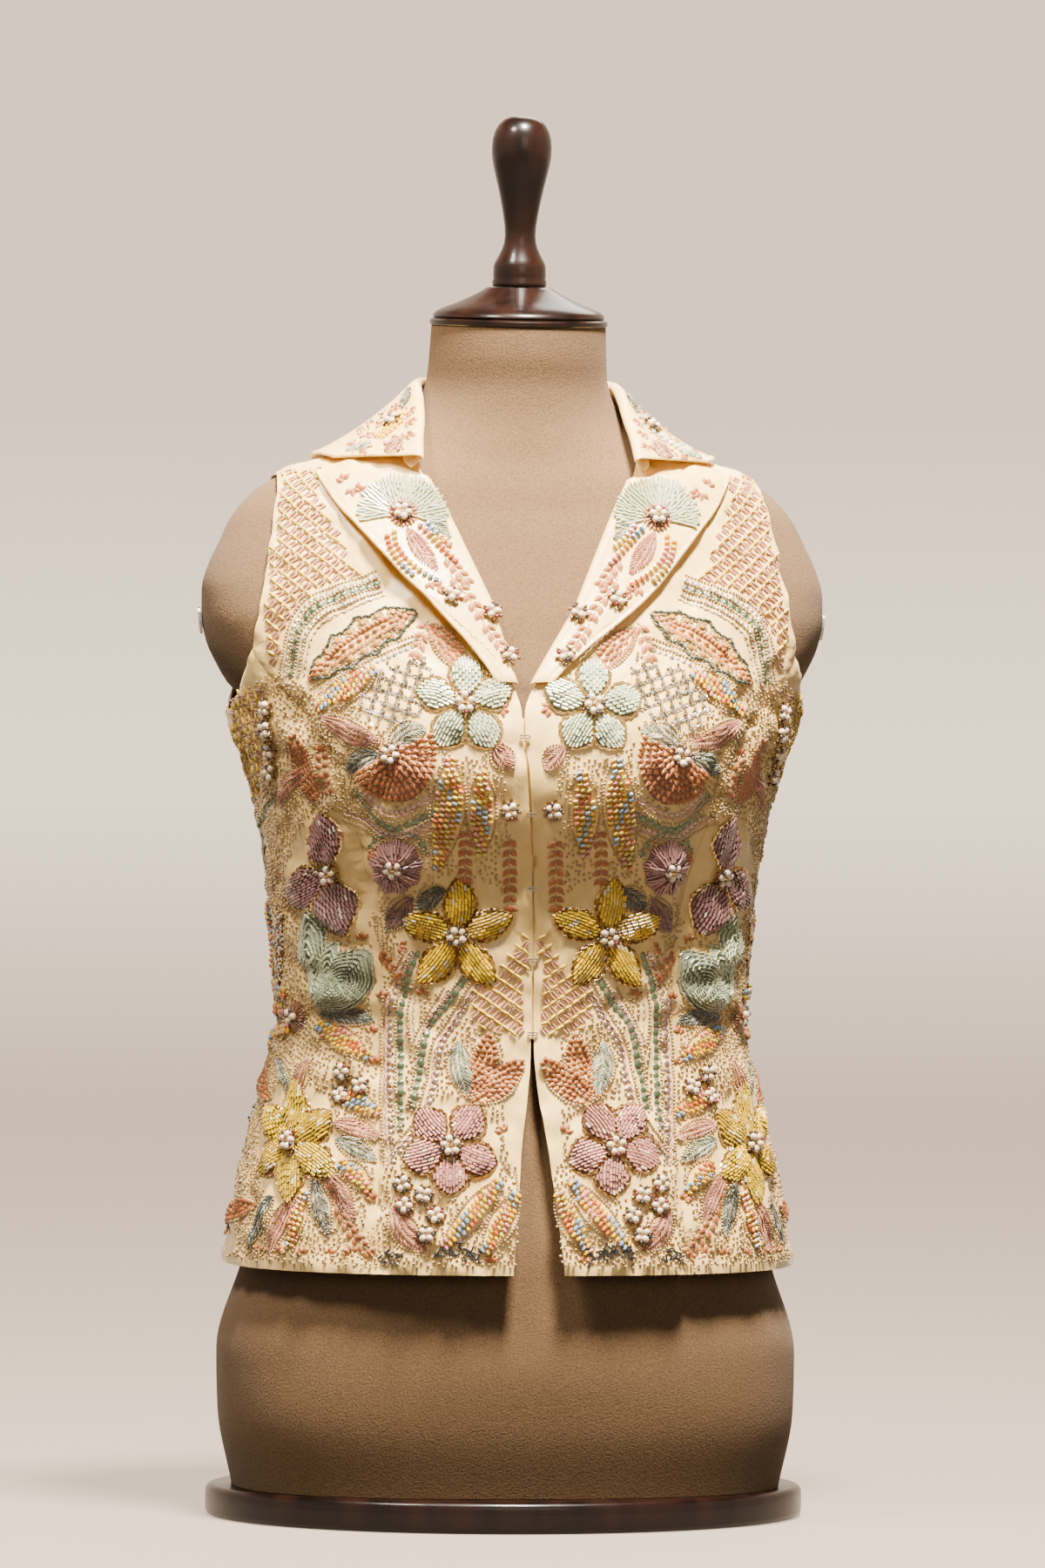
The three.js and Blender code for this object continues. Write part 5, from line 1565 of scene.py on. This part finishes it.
def filled(corners, angle, along, across, start=0.0, stagger=0.0, between_rows=0.0):
    """Places in rows at an angle within an outline: `along` apart in each row, the rows `across` apart."""
    middle = corners.mean(0)
    reach = np.hypot(*(corners - middle).T).max()
    most_i, most_j = int(reach / along) + 1, int(reach / across) + 1
    i, j = np.meshgrid(np.arange(-most_i, most_i + 1), np.arange(-most_j, most_j + 1))
    a, b = (i + start + stagger * (j % 2)) * along, (j + between_rows) * across
    u = middle[0] + a * math.cos(angle) - b * math.sin(angle)
    v = middle[1] + a * math.sin(angle) + b * math.cos(angle)
    kept = inside(corners, u, v)
    return u[kept], v[kept]


TRELLIS_STEP, TRELLIS_GAP = 5.2, 6.9
NET_LINK, NET_GAP = 1.95, 6.7
DULL_SILVER = (0.10, 0.085, 0.075)


def trellis(corners, angle, place):
    u, v = filled(corners, angle, TRELLIS_STEP, TRELLIS_GAP)
    sew("trellis_yellow", *place, u, v, angle, (5.4, 2.1, 1.6), YELLOW_STITCH, 0.2, shake=0.1)
    for way in (-0.95, 0.95):
        u, v = filled(corners, angle, TRELLIS_STEP, TRELLIS_GAP, 0.5, between_rows=0.5)
        u, v = circle(way, angle, u, v)
        sew("trellis_pink", *place, u, v, angle + 1.75, (4.1, 1.25, 1.15), PINK_BUGLE, 0.1, shake=0.12)


TRELLISES = (  # the way each runs, and the corners of its outline
    (
        38, (134, 595), (113, 598), (117, 585), (114, 574), (106, 556), (101, 543), (93, 538), (110, 531),
        (128, 524), (139, 503), (142, 484), (146, 494), (147, 515), (144, 540), (140, 565), (136, 588),
    ),
    (35, (4, 336), (14, 324), (22, 309), (34, 303), (36, 290), (26, 282), (4, 279)),
    (
        80, (147, 472), (150, 455), (148, 440), (146, 420), (150, 410), (158, 414), (162, 440), (162, 462),
        (157, 474),
    ),
)  # fmt: skip
NET = ((58, 490), (84, 484), (100, 466), (92, 452), (76, 450), (62, 458), (54, 474))
for side in (1, -1):
    place = FROM_MIDDLE[side]
    for degrees_round, *points in TRELLISES:
        corners = line_of(side, *points, fine=1)
        trellis(corners, math.radians(degrees_round), place)
        covered[side].append(corners)
    corners = line_of(side, *NET, fine=1)
    covered[side].append(corners)
    for angle in (math.radians(20), math.radians(110)):
        for way in (-0.55, 0.55):
            u, v = filled(corners, angle, NET_LINK, NET_GAP)
            u, v = u - way * math.sin(angle), v + way * math.cos(angle)
            tint = np.where(draw.random((len(u), 1)) > 0.3, SILVER, DULL_SILVER)
            turn = angle + 0.4 * np.where(draw.random(len(u)) > 0.5, 1, -1)
            sew("net_chain", *place, u, v, turn, (2.2, 0.85, 0.85), tint, 0.15)
    u, v = filled(corners, math.radians(20), NET_GAP, NET_GAP, 0.5)
    sew("net_chain", *place, u + 1, v + 3, 0, (1.6, 1.6, 1.4), CLEAR)

# ---------------------------------------------------------------- lobed leaves under the arches
# A plain lobed leaf on each front: a green chain outline, a rib of coral sequins and peach drops in its
# lobes, each drop ringed with clear beads.
PEACH, RIB_CORAL, LOBE_GREEN = (0.50, 0.23, 0.03), (0.36, 0.115, 0.012), (0.012, 0.028, 0.010)
LOBED = {"width": 25, "lobes": 4.5, "notch": 0.26, "drops": 7}
for side in (1, -1):
    place = FROM_MIDDLE[side]
    line = line_of(side, (66, 515), (90, 504), (110, 490), (124, 478))
    t = np.linspace(0, 1, 46)
    waves = 1 - LOBED["notch"] * np.abs(np.sin(np.pi * t * LOBED["lobes"] + 0.3))
    rims = [np.stack(leaf_place(line, LOBED["width"], t, way * waves, LEAF_BLUNT)[:2], 1) for way in (1, -1)]
    outline = np.concatenate([rims[0], rims[1][::-1]])
    chain("lobe_outline", outline, LOBE_GREEN, place, link=(2.3, 1.8, 1.4), lift=0.3)
    sequin_leaf(line, 8, place, step=2.6, tint=RIB_CORAL)
    for way in (-0.56, 0.56):
        at = np.linspace(0.16, 0.86, LOBED["drops"])
        u, v, heading, _ = leaf_place(line, LOBED["width"], at, np.full(len(at), way), LEAF_BLUNT)
        sew("lobe_drops", *place, u, v, heading + np.sign(way) * 0.9, (5.6, 4.2, 1.7), PEACH, 0.1)
        for ring in (3.2, 2.2):
            turns = np.arange(0, 2 * np.pi, 1.9 / ring)
            for a, b in zip(u, v):
                at = circle(ring, turns, a, b)
                sew("leaf_edges", *place, *at, turns + np.pi / 2, (1.6, 1.0, 0.9), CLEAR)
    covered[side].append(leaf_rim(line, LOBED["width"], LEAF_BLUNT))

# ---------------------------------------------------------------- mint blooms
# Two rounded petals at each waist side, of mint bugles laid close over high felt padding in nested curves.
BLOOM_BLUNT = 1.2
BLOOM_PETALS = (  # midline, width, height and colour
    (((0, 0), (4, 26), (11, 57)), 20, 3.2, MINT_GLASS),
    (((0, 3), (-6, 20), (-10, 37)), 17, 3.8, MINT_GLASS),
    (((3, 0), (-14, 12), (-30, 32)), 30, 5.2, tuple(0.62 * c for c in MINT_GLASS)),
)
pads = []
for side in (1, -1):
    place = on_jacket(side, 113, 293)
    for points, width, high, tint in BLOOM_PETALS:
        line = smooth_line(points, 10)
        pads.append(padding(line, width - 1, high - 0.7, *place, blunt=BLOOM_BLUNT))
        rim = leaf_rim(line, width, BLOOM_BLUNT)
        heart = rim.mean(0) + [0, -2]
        for share in np.arange(1, 0.04, -3.1 / width):
            u, v, heading = spaced(heart + (rim - heart) * share, 2.9)
            # Painted highlights: about a third of the bugles are painted brighter.
            shown = np.array(tint) * (1 + 0.35 * (draw.random((len(u), 1)) > 0.7))
            lift = high * math.sqrt(1.02 - share**2) - 0.2
            sew("bloom_bugles", *place, u, v, heading, (2.8, 1.4, 1.3), shown, lift, shake=0.05)
        chain("bloom_edge", rim, CLEAR, place, lift=0.1)
        s, z = place[1]
        covered[side].append(leaf_rim(line, width + 1, 1.25) + [side * s, z])
replaced = ("bloom_mint_left", "bloom_mint_right")
felt_piece("bloom_padding", pads, tuple(0.5 * c for c in MINT_GLASS), replaced)
joined("bloom_bugles", BUGLE, cut_glass)
joined("bloom_edge", STITCH, metal_thread)

# ---------------------------------------------------------------- rosettes, florets and fans
# Round motifs over domes of felt: a mauve rosette of radial bugles under the bust, a small bronze floret at
# the waist side, and a fan of coral leaf sequins at the bust point. Pearls fill their middles.
DOME_RINGS, DOME_COUNT = 6, 24
BRONZE_GLASS = (0.25, 0.12, 0.055)


def dome(radius, high, ground, middle, side):
    """A low felt dome on the cloth, as the points and faces of a closed shape."""
    turns = np.linspace(0, 2 * np.pi, DOME_COUNT, endpoint=False)
    share, turn = np.meshgrid(np.linspace(0.02, 1, DOME_RINGS), turns, indexing="ij")
    u, v = circle(radius * share, turn)
    lift = high * np.sqrt(np.clip(1 - share**2, 0, 1))
    top, bottom = (ground(middle[0] + side * u, middle[1] + v, at)[0] for at in (lift, -PAD_SINK))
    rows = np.concatenate([top, bottom[::-1]])
    points = np.concatenate([rows.reshape(-1, 3), [top[0].mean(0), bottom[0].mean(0)]])
    return points, tube_faces(len(rows), DOME_COUNT)


domes = {"rosette": [], "floret": [], "fan": []}
for side in (1, -1):
    place = on_jacket(side, 76, 374)
    domes["rosette"].append(dome(14.5, 5.5, *place))
    for ring, count, high in ((13, 52, 1.6), (10.4, 40, 4.2), (7.2, 26, 5.6)):
        turns = np.linspace(0, 2 * np.pi, count, endpoint=False)
        puff = 1 + 0.08 * np.sin(turns * 9)
        shown, lift = tuple(1.35 * c for c in MAUVE_GLASS), high * puff**2 - 0.4
        at = circle(puff * ring, turns)
        sew("rosette_bugles", *place, *at, turns, (4.3, 1.35, 1.3), shown, lift, lean=-0.35, shake=0.12)
    cluster(0, 0, place, lift=5.6, pearls=5, reach=3.3)
    band("green", np.stack(circle(19.5, np.radians(np.linspace(20, 160, 30))), 1), place)
    mark_round(side, 76, 374, 18, 20)

    place = on_jacket(side, 125, 287)
    domes["floret"].append(dome(7.5, 3.5, *place))
    for ring, count, high in ((7, 30, 0.8), (5, 22, 2.6)):
        turns = np.linspace(0, 2 * np.pi, count, endpoint=False)
        at = circle(ring, turns)
        sew("floret_bugles", *place, *at, turns, (4.4, 1.1, 1.0), BRONZE_GLASS, high, lean=-0.4)
    cluster(0, 0, place, lift=3.4, pearls=3, reach=2.6)

    place = on_jacket(side, 80, 436)
    domes["fan"].append(dome(17.5, 2.4, *on_jacket(side, 76, 427)))
    fan_rings = ((24, 0.9), (20.4, 1.6), (16.8, 2.1), (13.2, 2.4), (9.6, 2.5), (6.5, 2.3))
    for ring, (radius, high) in enumerate(fan_rings):
        turns = np.radians(np.arange(155 + 4 * (ring % 2), 335, 3.25 / radius * 57.3))
        at = circle(radius, turns)
        sew("leaf_sequins", *place, *at, turns, (5.4, 3.3, 1.1), CORAL_WAX, high, lean=0.35, shake=0.1)
    cluster(0, 0, place, lift=2.0, pearls=5, reach=3.4)
    s, z = side * place[1][0], place[1][1]
    turns = np.radians([150, 165, 185, 205, 225, 245, 265, 285, 305, 325, 340])
    covered[side].append(np.concatenate([[(s, z)], np.stack(circle(28, turns, s, z), 1)]))
for kind, colour, slot in (
    ("rosette", tuple(0.75 * c for c in MAUVE_GLASS), "mauve_beads"),
    ("floret", (0.25, 0.14, 0.08), "pearls"),
    ("fan", (0.34, 0.13, 0.09), "coral_sequins"),
):
    felt_piece(f"{kind}_padding", domes[kind], colour, (f"{kind}_left", f"{kind}_right"))
joined("rosette_bugles", BUGLE, cut_glass)
joined("floret_bugles", BUGLE, cut_glass)

# ---------------------------------------------------------------- pearl clusters
# Pearls sewn on in small bunches at the closure, the waist, the hem and down each side below the armhole.
PEARL_SPOTS = (  # across, up and how many
    (12.5, 406, 4), (72, 195, 4), (61, 189, 4), (71, 183, 4), (55, 178, 4), (60, 167, 4), (102, 256, 4),
    (93, 249, 4), (104, 244, 4), (145, 462, 4), (144, 450, 4), (143, 438, 3), (141, 426, 3),
)  # fmt: skip
for side in (1, -1):
    for x, z, pearls in PEARL_SPOTS:
        s, spot_z = place_of(side, x, z)
        cluster(side * s, spot_z, FROM_MIDDLE[side], lift=0.3, pearls=pearls, reach=2.7)
        mark_round(side, x, z, 8, 40)

# ---------------------------------------------------------------- lapel and collar beadwork
# On each lapel a fan of mint bugles round coral sequins, a rose leaf between rows of pastel beads, and sprigs
# down to the point where it folds. On the collar small leaves, trefoils, yellow beads and mint bugles.
def lapel_ground(side):
    """Places on a turned-back lapel, by their distance across from the middle and their height."""

    def ground(x, z, lift):
        x, z, lift = alike(x, z, lift)
        closure, inner, outer = edge_of(CLOSURE, z), edge_of(FRONT_EDGE, z), edge_of(LAPEL_EDGE, z)
        across = np.clip((side * (x - closure) - inner) / (outer - inner), 0, 1)
        share = np.clip((z - LAPEL["break_z"]) / (LAPEL["roll_top"] - LAPEL["break_z"]), 0, 1)
        high = lapel_lift(side, across, share) + LAPEL["thickness"] / 2
        angle = angle_at(x, z)
        around, up, out = directions_at(angle, z, True)
        return surface(angle, z, True) + out * (high + lift)[..., None], around, up, out

    return ground


LAPEL_FAN = {"x": 71, "z": 569, "squash": 0.92, "sequin": (0.40, 0.13, 0.085)}
LAPEL_BEAD_LINES = (
    ((76, 559), (75, 550), (70, 541), (62, 534), (53, 529)),
    ((63, 563), (57, 557), (50, 549), (42, 541)),
    ((59, 564), (52, 556), (45, 551)),
    ((80, 556), (78, 547), (73, 538), (66, 531)),
)
LAPEL_SPRIGS = (
    ((47, 534), (39, 523), (31, 511)),
    ((30, 508), (24, 499), (18, 491)),
    ((50, 545), (44, 538), (38, 530)),
)
LAPEL_TREFOILS = ((101, 587, 60), (95, 582, 150), (98, 584, 260), (55, 525, 180), (58, 528, 250))
for side in (1, -1):
    place = (lapel_ground(side), (0, 0), side)
    x, z = LAPEL_FAN["x"], LAPEL_FAN["z"]
    for radius, count in ((22, 40), (18, 33), (14, 26), (10, 19)):
        turns = np.radians(np.linspace(-15, 195, count))
        u, v = circle(radius + draw.uniform(-1.2, 1.2, count), turns)
        at = x + u, z + LAPEL_FAN["squash"] * v
        sew("lapel_bugles", *place, *at, turns, (5.6, 1.5, 1.4), MINT_GLASS, 0.2, lean=0.15, shake=0.12)
    for radius in (6.5, 5):
        turns = np.linspace(0, 2 * np.pi, 20, endpoint=False)
        at = circle(radius, turns, x, z)
        sew("leaf_sequins", *place, *at, turns, (5.2, 2.2, 0.9), LAPEL_FAN["sequin"], 0.8, lean=0.35)
    cluster(x, z, place, lift=1.4, pearls=5, reach=3.2)
    thread_leaf(smooth_line(((69, 560), (62, 548), (54, 536))), 11, THREADS["rose"], place)
    thread_leaf(smooth_line(((58, 566), (52, 561), (46, 556))), 8, THREADS["sage"], place)
    for points in LAPEL_BEAD_LINES:
        u, v, heading = spaced(smooth_line(points), 3.2)
        colour = (draw.integers(6) + (np.arange(len(u)) + (draw.random(len(u)) > 0.7)) // 3) % len(PASTELS)
        sew("leaf_beads", *place, u, v, heading + np.pi / 2, (3.2, 3.1, 3.0), 0.85 * PASTELS[colour])
    for points in LAPEL_SPRIGS:
        sprig(smooth_line(points), place, step=4.8)
    for x, z, turn in LAPEL_TREFOILS:
        trefoil(x, z, turn, place)
    for x, z in ((46, 521), (24, 514), (15.5, 489)):
        cluster(x, z, place, lift=0.2, pearls=3, reach=2.4)
    z = np.linspace(486, 588, 60)
    edge = np.stack([edge_of(LAPEL_EDGE, z) - 2.8, z], 1)
    chain("topstitching", edge, (0.34, 0.24, 0.14), place, link=(2.6, 0.4, 0.35), lift=-0.05)
joined("lapel_bugles", BUGLE, cut_glass)

FALL_FROM = 4 * COLLAR_SPLIT  # the column of the collar's grid where its fall starts


def collar_ground(side):
    """Places on the collar's fall: how far from its front end along it, and how far down from its roll."""
    facing = unit(collar_outer - collar_inner)
    both = np.concatenate([collar_outer, facing], -1)[:, FALL_FROM:]
    both = both[: len(stations)] if side < 0 else both[len(stations) - 1 :][::-1]
    fall, last = both[..., :3], both.shape[1] - 1
    run = np.concatenate([[0], np.cumsum(np.linalg.norm(np.diff(fall[:, last // 2], axis=0), axis=-1))])
    drop = np.linalg.norm(np.diff(fall, axis=1), axis=-1).sum(1)

    def at(u, v):
        row = np.clip(np.interp(u, run, np.arange(len(run))), 0, len(run) - 1.001)
        i = row.astype(int)
        column = np.clip(v / drop[i] * last, 0, last - 0.001)
        j = column.astype(int)
        f, g = (row - i)[..., None], (column - j)[..., None]
        near = both[i, j] * (1 - f) + both[i + 1, j] * f
        far = both[i, j + 1] * (1 - f) + both[i + 1, j + 1] * f
        return near * (1 - g) + far * g

    def ground(u, v, lift):
        u, v, lift = alike(side * u, v, lift)
        point, out = at(u, v)[..., :3], unit(at(u, v)[..., 3:])
        around, down = at(u + 1, v) - at(u - 1, v), at(u, v + 1) - at(u, v - 1)
        return point + out * lift[..., None], unit(around[..., :3]) * side, unit(down[..., :3]), out

    return ground


COLLAR_LEAVES = {  # kind, width and midline, along the fall and down it
    -1: (
        ("dark", 9, (57, 2), (48, 4), (41, 8)),
        ("sage", 9, (15, 25), (10, 32), (8, 39)),
        ("rose", 10, (14, 9), (7, 12), (2, 17)),
    ),
    1: (
        ("dark", 9, (53, 1), (44, 3), (36, 7)),
        ("sage", 9, (11, 29), (6, 36), (3, 43)),
        ("rose", 11, (14, 10), (7, 14), (1, 20)),
    ),
}
COLLAR_TREFOILS = {
    -1: (
        (26, 4, 200), (15, 5, 190), (4, 28, 100), (34, 4, 220), (40, 19, 150), (48, 13, 160), (30, 25, 140),
        (21, 34, 120),
    ),
    1: (
        (28, 4, 200), (19, 4, 190), (10, 5, 180), (2, 27, 100), (40, 21, 140), (50, 11, 160), (31, 29, 120),
        (20, 37, 110),
    ),
}  # fmt: skip
COLLAR_EDGE = {-1: ((36, 8), (27, 13), (18, 21)), 1: ((38, 8), (28, 16), (18, 26), (10, 34))}
COLLAR_GROUND = 110
GROUND_BEAD = (1.9, 1.5, 1.4)
for side in (1, -1):
    place = (collar_ground(side), (0, 0), side)
    for kind, width, *points in COLLAR_LEAVES[side]:
        thread_leaf(smooth_line(points), width, THREADS[kind], place)
    for u, v, turn in COLLAR_TREFOILS[side]:
        trefoil(u, v, turn, place)
    line = smooth_line(COLLAR_EDGE[side])
    if side < 0:
        for offset in (-3, 0, 3):
            u, v, heading = spaced(line, 3.1, offset)
            sew("collar_beads", *place, u, v, heading, (2.9, 3.0, 2.6), YELLOW_GLASS)
    else:
        for offset in (-3.6, -1.2, 1.2, 3.6):
            u, v, heading = spaced(line, 3.6, offset)
            sew("collar_bugles", *place, u, v, heading + 0.9, (4.6, 1.5, 1.4), MINT_GLASS)
    cluster(31, 13 if side < 0 else 14, place, lift=1.2, pearls=3, reach=2.4)
    tint = np.where(draw.random((COLLAR_GROUND, 1)) > 0.4, CLEAR, PALE_ROSE)
    u, v, heading = (draw.uniform(low, high, COLLAR_GROUND) for low, high in ((3, 57), (3, 36), (0, 3.1)))
    sew("ground_beads", *place, u, v, heading, GROUND_BEAD, tint, -0.1)
joined("collar_beads", SEED_BEAD, cut_glass)
joined("collar_bugles", BUGLE, cut_glass)

# ---------------------------------------------------------------- ground of clear beads, crumbs and tangles
# Between the motifs the satin is sprinkled with clear gold-lined beads. Down the sides and beside the side
# flowers lie crumbs of faceted silver, and along the hem tangles of short dark bugles.
def clear_of(side, u, v):
    """Whether places are clear of what is already sewn on."""
    kept = np.ones(len(u), bool)
    for corners in covered[side]:
        (low_u, low_v), (high_u, high_v) = corners.min(0), corners.max(0)
        near = kept & (u > low_u) & (u < high_u) & (v > low_v) & (v < high_v)
        kept[near] = ~inside(corners, u[near], v[near])
    return kept


GROUNDS = (
    ((104, 352), (98, 400), (112, 452), (128, 478), (146, 480), (158, 470), (158, 352), (130, 345)),
    (
        (18, 473), (50, 478), (60, 492), (100, 475), (120, 462), (118, 404), (100, 352), (84, 330), (82, 250),
        (84, 205), (66, 205), (52, 204), (16, 204), (16, 262), (16, 352), (14, 420),
    ),
    (
        (90, 330), (112, 352), (140, 372), (150, 408), (157, 400), (158, 352), (154, 300), (146, 274),
        (144, 240), (156, 240), (160, 190), (156, 153), (98, 156), (88, 188), (85, 250),
    ),
    ((10, 208), (82, 204), (86, 176), (98, 158), (156, 156), (160, 149.5), (60, 149), (12, 149.5)),
)  # fmt: skip
CRUMBS = (
    ((131, 345), (146, 350), (150, 320), (149, 290), (146, 276), (134, 284), (131, 310)),
    ((155, 240), (163, 236), (168, 200), (170, 172), (160, 176), (157, 205)),
)
CRUMB_TINTS = np.array([SILVER, GUNMETAL, CLEAR, BRONZE])
TANGLES = ((30, 56, 156, 34), (73, 86, 153.5, 16))  # from and to across, how high, and how many
for side in (1, -1):
    place = FROM_MIDDLE[side]
    for points in GROUNDS:
        u, v = filled(line_of(side, *points, fine=1), 0.4, 3.0, 2.9, stagger=0.5)
        u, v = u + draw.uniform(-0.9, 0.9, len(u)), v + draw.uniform(-0.9, 0.9, len(v))
        kept = clear_of(side, u, v)
        u, v = u[kept], v[kept]
        tint = np.where(draw.random((len(u), 1)) > 0.3, CLEAR, GOLD)
        sew("ground_beads", *place, u, v, draw.uniform(0, 3.1, len(u)), GROUND_BEAD, tint, -0.15)
    for points in CRUMBS:
        u, v = filled(line_of(side, *points, fine=1), 0.2, 1.75, 1.75, stagger=0.5)
        u, v = u + draw.uniform(-0.5, 0.5, len(u)), v + draw.uniform(-0.5, 0.5, len(v))
        tint = CRUMB_TINTS[draw.integers(4, size=len(u))]
        heading, lift = draw.uniform(0, 3.1, len(u)), draw.uniform(-0.2, 0.4, len(u))
        sew("crumbs", *place, u, v, heading, (2.2, 1.8, 1.7), tint, lift)
    for low, high, base, count in TANGLES:
        x = draw.uniform(low, high, count)
        z = base + draw.normal(0, 2.2, count) + 3 * np.sin((x - low) / (high - low) * np.pi)
        heading, lift = draw.uniform(0, 3.1, count), draw.uniform(0, 1.2, count)
        sew("tangles", *place, x, z, heading, (3.6, 1.2, 1.2), GUNMETAL, lift)

joined("leaf_beads", SEED_BEAD, glazed)
joined("leaf_thread", STITCH, silk)
joined("leaf_sequins", LEAF_SEQUIN, waxed, rim=(0.44, 0.235, 0.085))
joined("leaf_edges", STONE, cut_glass)
joined("stems", STITCH, silk)
joined("band_thread", STITCH, silk)
joined("band_sequins", ROUND_SEQUIN, foil)
joined("band_beads", STONE, cut_glass)
joined("trellis_yellow", STITCH, silk)
joined("trellis_pink", BUGLE, cut_glass)
joined("net_chain", STITCH, metal_thread)
joined("lobe_outline", STITCH, silk)
joined("lobe_drops", LEAF_SEQUIN, glazed)
joined("ground_beads", STONE, cut_glass)
joined("crumbs", STONE, metal_thread)
joined("tangles", BUGLE, metal_thread)
joined("topstitching", STITCH, silk)
spots = [f"pearls_{spot}_{word}" for spot in ("closure", "hem", "waist", "side") for _, word in SIDES]
joined("jacket_pearls", PEARL_BEAD, pearl_shine, spots)
joined("jacket_metal", SEED_BEAD, metal_thread)
joined("jacket_stones", STONE, cut_glass)

# ---------------------------------------------------------------- hooks
# Five flat hooks of bent steel wire that hold the fronts edge to edge, each a loop that spans both edges.
HOOK_WIRE, WIRE_SIDES, HOOK_HEIGHTS = 0.36, 6, (279.5, 321, 362, 404, 446)
HOOK_LOOP = smooth_line(
    (
        (-2.9, 0.35), (-2.2, 0.85), (-1.2, 0.55), (0.4, 0.8), (2.2, 0.7), (2.9, 0), (2.2, -0.7), (0.4, -0.8),
        (-1.2, -0.55), (-2.2, -0.85), (-2.9, -0.35),
    ),
    5,
)  # fmt: skip


def wire(line):
    """A round wire along a line of points, closed at both ends."""
    ahead = unit(np.gradient(line, axis=0))
    aside = unit(np.cross(ahead, np.array([0.02, -1.0, 0.05])))
    upright = np.cross(ahead, aside)
    turns = np.linspace(0, 2 * np.pi, WIRE_SIDES, endpoint=False)[None, :, None]
    rings = line[:, None] + HOOK_WIRE * (aside[:, None] * np.cos(turns) + upright[:, None] * np.sin(turns))
    return np.concatenate([rings.reshape(-1, 3), line[:1], line[-1:]]), tube_faces(len(line), WIRE_SIDES)


wires = []
for z in HOOK_HEIGHTS:
    middle = float(round_of(angle_at(edge_of(CLOSURE, z), z), z))
    wires.append(wire(cloth_place(middle + HOOK_LOOP[:, 0], z + HOOK_LOOP[:, 1], 0.7)[0]))
hooks = piece_of("hooks_of_wire", *together(wires), brushed_steel, angle=50)
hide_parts(*(f"hook_{i}" for i in range(1, 6)))
